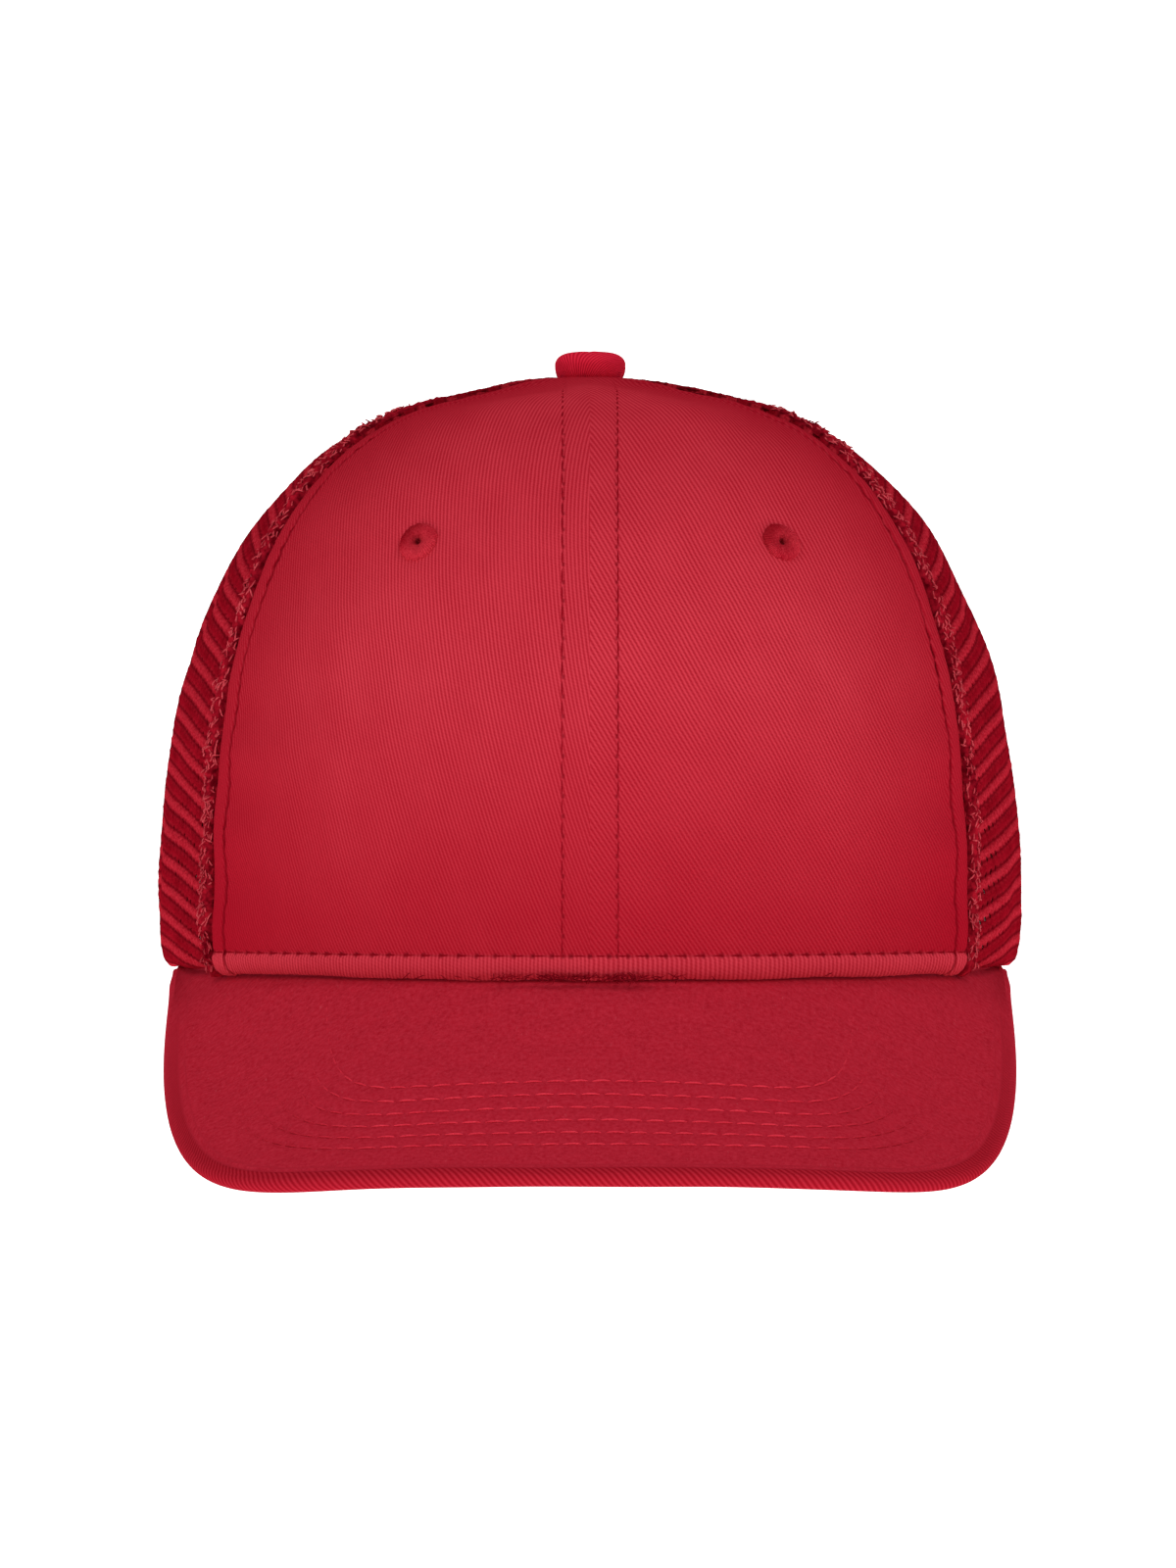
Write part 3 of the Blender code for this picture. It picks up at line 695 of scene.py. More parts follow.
LEFT_TWILL = twill("twill_left", 1.0 * MM, seams=True)
RIGHT_TWILL = twill("twill_right", 0.80 * MM, seams=True)
BUTTON_TWILL = twill("twill_button", 0.9 * MM, light=(0.92, 0.030, 0.070), dark=(0.52, 0.003, 0.020))
VISOR_CLOTH = peached("visor_cloth")
NET = knitted("net", (0.34, 0.004, 0.014), (0.17, 0.001, 0.005)).material
THREAD = yarn("thread", (0.34, 0.005, 0.014), (0.22, 0.002, 0.008)).material
# The visor's thread gets a painted highlight, kept on the front rows and faded at the sides, where the thread
# catches less light.
SHEEN_PAINTED_THREAD = yarn("visor_thread", (0.86, 0.050, 0.085), (0.64, 0.022, 0.046), roughness=0.5)
VISOR_THREAD = fade_painted_sheen(SHEEN_PAINTED_THREAD, (0.44, 0.014, 0.030), 38 * MM, 58 * MM).material
# Lint darkened partly in its own colour and partly as painted shade of the fold between hem and visor.
SHADE_DARKENED_LINT = yarn("lint", (0.30, 0.006, 0.016), (0.12, 0.001, 0.005), size=0.8 * MM).material
FLUFF = yarn("fluff", (0.76, 0.085, 0.11), (0.34, 0.006, 0.018), size=0.8 * MM, specular=0.1).material
SATIN = embroidered("satin", (0.66, 0.040, 0.062), (0.36, 0.005, 0.016)).material
FOLD = folded("net_fold", (0.50, 0.010, 0.026), (0.12, 0.001, 0.005)).material
TAPE_CLOTH = plain_weave("tape_cloth", (0.46, 0.018, 0.035), (0.26, 0.007, 0.015), 0.7 * MM)
BAND_CLOTH = plain_weave("band_cloth", (0.46, 0.018, 0.036), (0.30, 0.009, 0.018), 0.6 * MM)
BUCKRAM = plain_weave("buckram_cloth", (0.80, 0.78, 0.72), (0.52, 0.49, 0.43), 1.1 * MM, size=0.15 * MM)
LABEL = plain_weave("label_cloth", (0.86, 0.85, 0.81), (0.72, 0.71, 0.67), 0.35 * MM, 0.6)
FOAM = foam("foam")
STRAP = moulded("strap_plastic", (0.42, 0.014, 0.028), (0.36, 0.010, 0.022), 0.38)
BOARD = moulded("board_plastic", (0.80, 0.79, 0.76), (0.72, 0.71, 0.68), 0.45)
METAL = metal("button_metal")


# Front panels

PANEL_COLUMNS = 112
PANEL_ROWS = 176
PANEL_TOP_RADIUS = 3.2 * MM
HEM_TUCK = 3.4 * MM
EYELET_ANGLES = {1: radians(30.2), -1: -radians(26.7)}
EYELET_HEIGHT = 0.085


def panel_rows(angle, low, rows, top_radius):
    top = up_at(angle, np.full_like(angle, share_at_radius(top_radius)))
    return low + (top - low) * rows


def panel_grid(first, last, columns, rows, low, top_radius):
    """Angle and way up of a grid between two seams, and each point's distance from both seams."""
    across = np.linspace(0, 1, columns)[None, :]
    upward = np.linspace(0, 1, rows)[:, None]
    angle = first + (last - first) * across + 0 * upward
    up = panel_rows(angle, low, upward, top_radius)
    legs = np.linalg.norm(np.diff(lay(angle, up)[0], axis=1), axis=2)
    width = legs.sum(axis=1, keepdims=True)
    return angle, up, across * width, (1 - across) * width


def seam_relief(distance, way, stitch, depth=1.0, groove=0.70):
    """How cloth lies beside a seam: rolled into it, raised by the turned allowance, pulled in by stitches."""
    pitch = CROWN_STITCH[0]
    pull = 0.75 + 0.25 * np.cos(2 * pi * way / pitch)
    clear = smooth(0.5 * MM, 4 * MM, way)
    return MM * (
        -groove * (0.4 + 0.6 * clear) * ridge(distance, 0, 0.55 * MM)
        + 0.30 * depth * (1 - smooth(stitch + 0.2 * MM, stitch + 1.6 * MM, distance))
        - 0.50 * depth * pull * ridge(distance, stitch, 0.50 * MM)
    )


def front_lift(side, from_centre, from_side, up, to_apex):
    """The relief of a front panel over the smooth crown."""
    centre_relief = seam_relief(from_centre, up, CENTRE_STITCH, 0.6, groove=0.16)
    side_relief = seam_relief(from_side, up, SIDE_STITCH, 1.3)
    above_hem = up - BASE_STITCH
    base = MM * (
        -0.45 * (0.8 + 0.2 * np.cos(2 * pi * from_centre / CROWN_STITCH[0])) * ridge(above_hem, 0, 0.5 * MM)
        + 0.40 * (1 - smooth(-0.9 * MM, 0.5 * MM, above_hem))
        + 0.06 * np.sin(2 * pi * from_centre / (1.55 * MM) + 2.0 * ripple(from_centre, up, 9 * MM, 5))
        * (1 - smooth(-0.6 * MM, 0.2 * MM, above_hem))
    )
    buckle = (
        0.85 * MM
        * np.cos(2 * pi * (up - 22 * MM) / (20.5 * MM) + 0.5 * ripple(from_side, up, 60 * MM, 8 + side))
        * np.exp(-((from_side / (19 * MM)) ** 2))
        * (0.15 + 0.85 * smooth(0, 11 * MM, from_side))
        * smooth(4 * MM, 14 * MM, up)
        * (1 - smooth(38 * MM, 62 * MM, up))
    )
    under_net = (
        -1.1 * MM
        * smooth(8 * MM, 26 * MM, to_apex)
        * (1 - smooth(50 * MM, 78 * MM, to_apex))
        * (1 - smooth(14 * MM, 34 * MM, from_side))
    )
    slack = 0.16 * MM * ripple(from_centre * side, up, 34 * MM, 21 + side)
    creases = 0.035 * MM * ripple(from_centre * side, up, 7 * MM, 33 + side)
    whole = centre_relief + side_relief + base + buckle + (slack + creases) * smooth(0, 8 * MM, from_centre)
    return whole * smooth(5 * MM, 22 * MM, to_apex) + under_net


def eyelet_place(side):
    """The middle of an eyelet, and the ways round the head, up and outward there."""
    angle = np.array(EYELET_ANGLES[side])
    share = share_at(angle, np.array(EYELET_HEIGHT))
    return crown_point(angle, share), crown_axes(angle, share)


EYELET_CUT = 2.9 * MM
RIB_LEANS = {1: (0.74, 0.30), -1: (0.50, 0.64)}
RIB_LEAN_HEIGHT = 0.11


def across_ribs(side, x, up):
    """Metres across the ribs, which lean less the higher they are. Below the base stitching they stand."""
    lean, less = RIB_LEANS[side]
    above = np.maximum(up - BASE_STITCH, 0)
    return x + lean * above - less * above**2 / (2 * RIB_LEAN_HEIGHT)


def front_panel(side, word, material):
    first, last = (0.0, FRONT_SEAM) if side > 0 else (-FRONT_SEAM, 0.0)
    angle, up, from_first, from_last = panel_grid(
        first, last, PANEL_COLUMNS, PANEL_ROWS, -HEM_TUCK, PANEL_TOP_RADIUS
    )
    from_centre, from_side = (from_first, from_last) if side > 0 else (from_last, from_first)
    middle = eyelet_place(side)[0]
    away = np.linalg.norm(lay(angle, up)[0] - middle, axis=2)
    lift = front_lift(side, from_centre, from_side, up, from_apex(angle, up))
    lift -= 0.25 * MM * ridge(away, 4.2 * MM, 1.2 * MM)
    points = lay(angle, up, lift)[0]
    pattern = np.stack([from_centre * side, up, across_ribs(side, from_centre * side, up)], axis=2)
    seams = np.stack([from_centre, from_side, up], axis=2)
    kept = (away > EYELET_CUT).ravel()
    name = f"front_panel_{word}_twill"
    panel = cloth(name, points, TWILL_THICKNESS, kept=kept, pattern=pattern, seams=seams)
    dress(panel, material, [f"front_panel_{word}"])


def relief_line(side, from_centre=None, from_side=None, up=None, low=0.0):
    """A line on a front panel, on top of its relief, at a distance from a seam or above the hem."""
    seam = side * FRONT_SEAM
    if up is None:
        start = np.array(0.0 if from_side is None else seam)
        inward = side if from_side is None else -side
        distance = from_centre if from_side is None else from_side
        end = 30 * MM if from_side is None else 8.5 * MM
        top = up_at(start, np.array(share_at_radius(end)))
        ways = np.linspace(low, top, 400)
        angle = start + 0 * ways
        for _ in range(3):
            middle = (angle + start) / 2
            angle = start + inward * distance / girth_up(middle, ways)
        ups = ways
        across = np.abs((seam if from_side is None else 0.0) - angle)
        other = across * girth_up(angle, ways)
        near = distance + 0 * ways
        centre, far = (near, other) if from_side is None else (other, near)
    else:
        angle = side * np.linspace(0.1 * MM / HALF_LENGTH, FRONT_SEAM - 0.1 * MM / HALF_LENGTH, 400)
        ups = up + 0 * angle
        walked = walk(lay(angle, ups)[0])
        centre, far = walked, walked[-1] - walked
    lift = front_lift(side, centre, far, ups, from_apex(angle, ups))
    return lay(angle, ups, lift)


def front_stitching():
    pitch, length, radius = CROWN_STITCH
    rows = []
    for side, seed in ((1, 1), (-1, 2)):
        lines = (
            relief_line(side, from_centre=CENTRE_STITCH, low=BASE_STITCH),
            relief_line(side, from_side=SIDE_STITCH, low=-1.0 * MM),
            relief_line(side, up=BASE_STITCH),
        )
        for number, (line, normals) in enumerate(lines):
            rows.append(stitch_row(line, normals, pitch, length, radius, seed * 10 + number, proud=0.35))
    return stitching("front_stitches", rows)


# Net panels

NET_PITCH = 2.35 * MM
NET_STAGGER = 0.30 * MM
NET_STRAND = 1.45 * MM
NET_BAND = 1.75 * MM
NET_RINGS = ((0.0, 0.0), (0.62, 0.09), (1.0, 0.5), (0.62, 0.91), (0.0, 1.0))
CELL_EDGE = (
    (0, 0), (1, 0), (2, 0), (3, 0), (4, 0), (4, 1), (4, 2), (3, 2), (2, 2), (1, 2), (0, 2), (0, 1),
)
BORDER_SOFT = 0.8 * MM
HEM_HOLE_SHARE = 0.25
ARCH_RADIUS = 0.044
ARCH_STILT = 0.012


def net_cells(reach, height, lean):
    """The cells of a knitted net: corner keys and holes, in the pattern's flat coordinates."""
    quarter = NET_PITCH / 4
    rows = range(-3, int(height / NET_ROW) + 2)
    columns = range(-int(reach / NET_PITCH) - 2, int(reach / NET_PITCH) + 3)
    cells = []
    for row in rows:
        shear = lean if row % 2 == 0 else -lean
        for column in columns:
            keys = []
            for quarters, level in CELL_EDGE:
                keys.append((4 * column + quarters + shear * level, 2 * row + level))
            middle = ((4 * column + 2 + shear) * quarter, (2 * row + 1) * NET_ROW / 2)
            cells.append((keys, middle, shear))
    return cells


def net_panel(name, first, last, replaces, seed, arch=False):
    """One net panel, real holes and all, cut along its seams."""
    centre = (first + last) / 2
    length = float(look_up(MERIDIANS, np.array(centre), np.array(1.0)))
    cells = net_cells(0.062, length, 1)
    quarter = NET_PITCH / 4
    half = np.array([NET_PITCH / 2, NET_ROW / 2])
    hole = (NET_PITCH - NET_STRAND) / NET_PITCH, (NET_ROW - NET_BAND) / NET_ROW
    keys = sorted({key for cell in cells for key in cell[0]})
    index = {key: number for number, key in enumerate(keys)}
    corners = np.array(keys, float) * [quarter, NET_ROW / 2]
    on_band = np.array([key[1] % 2 == 0 for key in keys])
    point = np.array([key[0] % 4 for key in keys])
    corners[:, 1] += NET_STAGGER * on_band * np.where(point == 0, 1, np.where(point == 2, -1, 0))
    outline = np.array([[index[key] for key in cell[0]] for cell in cells])
    middles = np.array([cell[1] for cell in cells])
    shears = np.array([cell[2] for cell in cells], float)
    local = np.array([((q - 2) / 2, level - 1) for q, level in CELL_EDGE], float)
    rounding = (np.abs(local) ** 2.8).sum(axis=1) ** (1 / 2.8)
    local = local / rounding[:, None] * hole
    holes = middles[:, None, :] + local[None] * half
    holes[:, :, 0] += shears[:, None] * local[None, :, 1] * quarter

    def to_crown(flat_points):
        x, y = flat_points[..., 0], flat_points[..., 1]
        radius = np.hypot(x, length - y)
        up = length - radius - HEM_ROLL
        share = share_up(np.full_like(up, centre), np.maximum(up, 0))
        around = radius * np.arctan2(x, length - y)
        angle = centre + around / girth(np.full_like(up, centre), share)
        metres = girth(angle, share)
        return angle, up, (angle - first) * metres, (last - angle) * metres, metres

    middle_angle, middle_up, from_first, from_last, _ = to_crown(middles)
    top = up_at(np.array(centre), np.array(share_at_radius(4.5 * MM)))
    keep = (middle_up < top) & (middle_up > -4.4 * MM)
    keep &= (from_first > -0.35 * NET_PITCH) & (from_last > -0.35 * NET_PITCH)
    if arch:
        places = lay(middle_angle, middle_up)[0]
        below = np.maximum(ARCH_STILT - places[:, 2], 0)
        away = np.hypot(places[:, 0], np.maximum(places[:, 2] - ARCH_STILT, 0))
        edge = ARCH_RADIUS + 2.2 * MM
        keep &= (away > edge) | ((below > 0) & (np.abs(places[:, 0]) > edge))
    at_hem = (middle_up < 0.5 * MM)[:, None, None]
    holes = np.where(at_hem, middles[:, None, :] + (holes - middles[:, None, :]) * HEM_HOLE_SHARE, holes)
    outline, holes, middles = outline[keep], holes[keep], middles[keep]
    used, outline = np.unique(outline, return_inverse=True)
    outline = outline.reshape(-1, len(CELL_EDGE))
    corners = corners[used]
    count, sides, cell_count = len(corners), len(CELL_EDGE), len(holes)

    edges = corners[outline]
    layers = [corners]
    depths = [np.zeros(count)]
    ring_starts = [outline]
    start = count
    for share, depth in NET_RINGS[1:-1]:
        ring = edges + (holes - edges) * share
        layers.append(ring.reshape(-1, 2))
        depths.append(np.full(cell_count * sides, depth))
        ring_starts.append(start + np.arange(cell_count * sides).reshape(-1, sides))
        start += cell_count * sides
    layers.append(corners)
    depths.append(np.ones(count))
    ring_starts.append(outline + start)
    flat_points = np.concatenate(layers)
    depth = np.concatenate(depths)

    faces = []
    for outer, inner in zip(ring_starts, ring_starts[1:], strict=False):
        after_outer, after_inner = np.roll(outer, -1, axis=1), np.roll(inner, -1, axis=1)
        faces.append(np.stack([outer, after_outer, after_inner, inner], axis=2).reshape(-1, 4))
    faces = np.concatenate(faces)
    starts, ends = open_edges(outline, count)
    walls = np.stack([ends, starts, starts + start, ends + start], axis=1)
    faces = np.concatenate([faces, walls])

    angle, up, from_first, from_last, metres = to_crown(flat_points)

    def eased(distance):
        return np.where(
            distance > BORDER_SOFT,
            distance,
            BORDER_SOFT * np.exp(np.minimum(distance - BORDER_SOFT, 0) / BORDER_SOFT),
        )

    near_first = from_first < from_last
    angle = np.where(near_first, first + eased(from_first) / metres, last - eased(from_last) / metres)
    knit = 0.07 * MM * ripple(flat_points[:, 0], flat_points[:, 1], 2.2 * MM, seed)
    slack = 0.35 * MM * ripple(flat_points[:, 0], flat_points[:, 1], 26 * MM, seed + 1)
    border = smooth(0, 6 * MM, np.minimum(from_first, from_last))
    lift = -depth * NET_THICKNESS + knit + slack * border
    points = lay(angle, up, lift)[0]
    # Painted highlight on every other row, passed to the material as the pattern's third number.
    painted_shine = 0.5 + 0.5 * np.cos(pi * flat_points[:, 1] / NET_ROW)
    pattern = np.stack([flat_points[:, 0], flat_points[:, 1], painted_shine], axis=1)
    net = add_mesh(name, points, faces, crease=radians(60), pattern=pattern)
    dress(net, NET, replaces)


def seam_fold(name, seam, way, width, height, seed, lumps=0.3):
    """The net's edge, folded into the seam: a soft, lumpy strip beside it."""
    rows, columns = 260, 15
    top = up_at(np.array(seam), np.array(share_at_radius(7.0 * MM)))
    up = np.linspace(-3.2 * MM, float(top), rows)[:, None]
    part = np.linspace(0, 1, columns)[None, :]
    near = girth_up(np.full_like(up, seam), up)
    narrow = smooth(0, 30 * MM, top - up) * 0.55 + 0.45
    width_here = width * narrow * (1 + 0.16 * ripple(up, 0 * up, 9 * MM, seed))
    distance = 0.15 * MM + width_here * part
    angle = seam + way * distance / near
    bulge = np.sin(pi * part) ** 0.6 * (1 + 0.22 * ripple(up, 0 * up, 7 * MM, seed + 1)) * narrow
    rough = ripple(distance, up, 1.7 * MM, seed + 2, waves=11)
    rough = rough + 0.7 * ripple(distance, up, 0.9 * MM, seed + 3, waves=11)
    calm = 0.25 + 0.75 * smooth(20 * MM, 60 * MM, top - up)
    lift = calm * (height * bulge + lumps * MM * rough * np.sin(pi * part) ** 0.5) - 0.2 * MM
    points, _ = lay(angle, up + 0 * part, lift)
    facing = way * grid_normals(points)
    pattern = np.stack([distance + 0 * up, up + 0 * part, 0 * part + 0 * up], axis=2)
    surface = points
    if way < 0:
        points, pattern = points[:, ::-1], pattern[:, ::-1]
    fold = cloth(name, points, 0.5 * MM, crease=radians(75), pattern=pattern)
    dress(fold, FOLD)
    return surface, facing


def loose_threads(middle, tangent, facing, length, bow, radius):
    """Short threads whose middles bow away from what they lie on."""
    count, places = len(middle), len(THREAD_PLACES)
    reach = (THREAD_PLACES[None, :] * length[:, None] / 2).ravel()
    away = np.tile(1 - THREAD_PLACES**2, count) * np.repeat(bow, places)
    middle, tangent, facing = (np.repeat(a, places, axis=0) for a in (middle, tangent, facing))
    centres = middle + tangent * reach[:, None] + facing * away[:, None]
    side = unit(np.cross(facing, tangent))
    swell = np.tile(np.sqrt(1 - 0.9 * THREAD_PLACES**2), count)
    return thread_tubes(centres, facing, side, radius * swell)


def fluff(name, surfaces, count, seed):
    """Loose loops of the cut net, lying along the folded seams."""
    rows = []
    for number, (surface, facing) in enumerate(surfaces):
        random = np.random.default_rng(seed + number)
        row = random.random(count) * 0.78 + 0.01
        column = 0.08 + random.random(count) * 0.84
        upright = random.random(count) < 0.85
        leaning = random.normal(0.10, 0.25, count)
        turn = np.where(upright, leaning, random.random(count) * pi)
        length = (0.8 + 1.1 * random.random(count)) * MM
        at_row, at_column = row * (surface.shape[0] - 1), column * (surface.shape[1] - 1)
        low_row, low_column = at_row.astype(int), at_column.astype(int)
        middle = surface[low_row, low_column]
        normal = facing[low_row, low_column]
        upward = unit(surface[low_row + 1, low_column] - middle)
        across = np.cross(upward, normal)
        tangent = unit(upward * np.cos(turn)[:, None] + across * np.sin(turn)[:, None])
        bow = random.random(count) * 0.25 * MM
        middle = middle + normal * 0.05 * MM
        rows.append(loose_threads(middle, tangent, normal, length, bow, 0.17 * MM))
    return stitching(name, rows, material=FLUFF)


# Eyelets and button

EYELET_PROFILE = (
    (0.62, -2.2), (0.66, -1.0), (0.85, 0.0), (1.3, 0.45), (2.0, 0.72), (2.8, 0.74), (3.4, 0.58),
    (3.8, 0.32), (4.1, 0.02), (4.2, -0.35), (4.1, -0.70),
)
EYELET_THREADS = 58
EYELET_SHADE_TURN = radians(140)


def eyelet(side, word):
    origin, (around, rise, normal) = eyelet_place(side)
    profile = np.array(EYELET_PROFILE) * MM
    way = walk(profile)
    fine = np.linspace(0, way[-1], 34)
    profile = along(profile, way, fine)
    turns = np.linspace(0, 2 * pi, EYELET_THREADS * 6, endpoint=False)
    part = (fine / fine[-1])[:, None]
    twist = 0.22 * part
    uneven = turns[None, :] + twist + 0.05 * np.sin(5 * turns[None, :])
    threads = np.abs(np.sin(uneven * EYELET_THREADS / 2))
    radius = profile[:, 0][:, None] * (1 + 0.02 * np.sin(3 * turns[None, :] + 1) * part)
    ragged = 0.12 * MM * ripple(turns[None, :] * 4 * MM, 0 * part, 1.2 * MM, 44 + side) * part**3
    raised = 0.16 * MM * (threads**0.7 - 0.5) * smooth(0.12, 0.3, part)
    flat = np.gradient(profile, axis=0)
    out_normal = unit(np.stack([-flat[:, 1], flat[:, 0]], axis=1))
    radius = radius + raised * out_normal[:, 0][:, None] + ragged
    height = profile[:, 1][:, None] + raised * out_normal[:, 1][:, None] + 0 * turns[None, :]
    points = (
        origin
        + around * (radius * np.cos(turns))[..., None]
        + rise * (radius * np.sin(turns))[..., None]
        + normal * height[..., None]
    )[::-1]
    # Painted shadow: a dark crescent on one side of the ring's outer part.
    shadow_crescent = smooth(0.42, 0.75, part) * smooth(0.1, 0.9, np.cos(turns - EYELET_SHADE_TURN))[None, :]
    pattern = np.stack(np.broadcast_arrays(threads, part, shadow_crescent), axis=2)[::-1]
    ring = cloth(f"eyelet_{word}_thread", points, 0.28 * MM, closed=True, crease=radians(80), pattern=pattern)
    return dress(ring, SATIN, [f"eyelet_{word}"])


BUTTON_RADIUS = 7.2 * MM
BUTTON_MID_HEIGHT = CROWN_HEIGHT + 2.4 * MM
BUTTON_RISE = 2.7 * MM
BUTTON_RIBS = radians(-22)
BUTTON_FALL = 3.5 * MM


def button_cover():
    turns = np.linspace(0, 2 * pi, 120, endpoint=False)[None, :]
    tilt = np.linspace(radians(-66), radians(89.3), 44)[:, None]
    rise = np.where(tilt > 0, BUTTON_RISE, BUTTON_FALL)
    gathers = np.maximum(-np.sin(tilt), 0) * 0.16 * MM * (np.sin(26 * turns) + 0.6 * np.sin(17 * turns + 1))
    dents = 0.07 * MM * ripple(np.cos(turns) * 5 * MM, np.sin(turns) * 5 * MM + tilt * 3 * MM, 5 * MM, 61)
    roundness = np.where(tilt > 0, 0.52, 0.22)
    radius = BUTTON_RADIUS * np.cos(tilt) ** roundness + gathers + dents * np.cos(tilt)
    height = BUTTON_MID_HEIGHT + (rise + dents) * np.sin(tilt) + 0 * turns
    points = np.stack(np.broadcast_arrays(radius * np.cos(turns), radius * np.sin(turns), height), axis=2)
    spread = BUTTON_RADIUS * (pi / 2 - tilt)
    x, y = spread * np.cos(turns), spread * np.sin(turns)
    pattern = np.stack(np.broadcast_arrays(x, y, x * cos(BUTTON_RIBS) + y * sin(BUTTON_RIBS)), axis=2)
    cover = cloth("button_cover_twill", points, 0.45 * MM, closed=True, pattern=pattern)
    dress(cover, BUTTON_TWILL, ["button_cover"])


# Visor


def visor_inner(turn):
    angle = turn * VISOR_TIP_ANGLE
    half_width = HALF_WIDTH * (1 - RIM_TUCK) - VISOR_INSET
    half_length = HALF_LENGTH - VISOR_INSET
    return half_width * np.sin(angle), -half_length * np.cos(angle)


def visor_outer(turn):
    angle = turn * pi / 2
    across, ahead = np.abs(np.sin(angle)), np.abs(np.cos(angle))
    out = (across**VISOR_CORNER + ahead**VISOR_CORNER) ** (-1 / VISOR_CORNER)
    forward = out * np.cos(angle)
    return VISOR_HALF_WIDTH * out * np.sin(angle), VISOR_TIP_Y - VISOR_REACH * forward, forward


def visor_point(turn, out):
    inner_x, inner_y = visor_inner(turn)
    outer_x, outer_y, forward = visor_outer(turn)
    edge_drop = forward + VISOR_SIDE_DROOP * forward**3 * (1 - forward)
    fall = VISOR_FIRST_SLOPE * out + (1 - VISOR_FIRST_SLOPE) * out**2
    x = inner_x + (outer_x - inner_x) * out
    y = inner_y + (outer_y - inner_y) * out
    return np.stack(np.broadcast_arrays(x, y, -VISOR_GAP - VISOR_DROP * edge_drop * fall), axis=-1)


def visor_frame(turn, out, step=1e-4):
    """The way outward, square to the outline, and the upward normal."""
    side = visor_point(turn + step, out) - visor_point(turn - step, out)
    spoke = visor_point(turn, out + step) - visor_point(turn, out - step)
    normal = unit(np.cross(side, -spoke))
    return unit(np.cross(normal, -side)), normal


def from_outline(x, y):
    """How far inside the visor's outline a point is, by the family of curves that its stitching follows."""
    low, high = np.zeros_like(x), np.full_like(x, 0.075)
    for _ in range(30):
        middle = (low + high) / 2
        across = np.abs(x) / (VISOR_HALF_WIDTH - middle)
        flat_y = y - ROW_RISE * middle * np.minimum(across, 1) ** 2
        ahead = np.maximum(VISOR_TIP_Y - flat_y, 0) / (VISOR_REACH - middle)
        corner = VISOR_CORNER + ROW_CORNER_GROWTH * middle**2
        inside = across**corner + ahead**corner < 1
        low, high = np.where(inside, middle, low), np.where(inside, high, middle)
    return low


def row_curve(distance, count=900):
    """A stitch row in plan: the outline drawn in by a distance, where it is clear of the crown."""
    angle = np.linspace(-pi / 2, pi / 2, count)
    corner = VISOR_CORNER + ROW_CORNER_GROWTH * distance**2
    out = (np.abs(np.sin(angle)) ** corner + np.abs(np.cos(angle)) ** corner) ** (-1 / corner)
    x = (VISOR_HALF_WIDTH - distance) * out * np.sin(angle)
    y = VISOR_TIP_Y - (VISOR_REACH - distance) * out * np.cos(angle)
    y = y + ROW_RISE * distance * (x / (VISOR_HALF_WIDTH - distance)) ** 2
    clear = (x / HALF_WIDTH) ** 2 + (y / HALF_LENGTH) ** 2 > 1.0
    return x[clear & (y < VISOR_TIP_Y)], y[clear & (y < VISOR_TIP_Y)]


def visor_place(x, y):
    """The turn and out of a point of the visor seen in plan."""
    turn = np.clip(x / VISOR_HALF_WIDTH, -0.98, 0.98)
    out = np.full_like(x, 0.6)
    step = 1e-5
    for _ in range(14):
        here = visor_point(turn, out)[..., :2]
        by_turn = (visor_point(turn + step, out)[..., :2] - here) / step
        by_out = (visor_point(turn, out + step)[..., :2] - here) / step
        miss_x, miss_y = x - here[..., 0], y - here[..., 1]
        whole = by_turn[..., 0] * by_out[..., 1] - by_turn[..., 1] * by_out[..., 0]
        turn = np.clip(turn + (miss_x * by_out[..., 1] - miss_y * by_out[..., 0]) / whole * 0.9, -1, 1)
        out = np.clip(out + (miss_y * by_turn[..., 0] - miss_x * by_turn[..., 1]) / whole * 0.9, -0.05, 1.02)
    return turn, out


def beside(x, y, inside):
    """0 on the front run of the stitch row at this distance, 1 on its side runs and a step at its corners."""
    across = np.abs(x) / (VISOR_HALF_WIDTH - inside)
    ahead = np.maximum(VISOR_TIP_Y - y, 0) / (VISOR_REACH - inside)
    return smooth(-0.10, 0.25, across - ahead)


def visor_relief(x, y, way):
    """The top cloth over the board: pulled down along each stitch row and puffed between rows."""
    inside = from_outline(x, y)
    lift = 0.035 * MM * ripple(x, y, 11 * MM, 71) + 0.05 * MM * ripple(x, y, 30 * MM, 72)
    clear = 1 - 0.92 * beside(x, y, inside)
    ahead = 1 - 0.85 * smooth(62 * MM, 78 * MM, np.abs(x))
    for number, row in enumerate(VISOR_ROWS):
        pull = 0.72 + 0.28 * np.cos(2 * pi * way / VISOR_STITCH[0] + number)
        lift = lift - 0.34 * MM * clear * pull * ridge(inside, row, 0.75 * MM)
        pucker = np.cos(2 * pi * way / VISOR_STITCH[0] + number) * ridge(inside, row, 1.9 * MM)
        lift = lift + 0.08 * MM * clear * pucker
    lift = lift + 0.16 * MM * ahead * ridge(inside, 0.75 * MM, 0.55 * MM)
    lift = lift - 0.14 * MM * ahead * ridge(inside, 2.3 * MM, 0.8 * MM)
    return lift


VISOR_COLUMNS = 300
VISOR_TOP_ROWS = 118
VISOR_LIP_ROWS = 12


def visor_turns(columns):
    """Turns that are evenly spaced along the visor's outline."""
    fine = np.linspace(-1, 1, 3000)
    outline = np.stack(visor_outer(fine)[:2], axis=1)
    return np.interp(np.linspace(0, 1, columns), walk(outline) / walk(outline)[-1], fine)


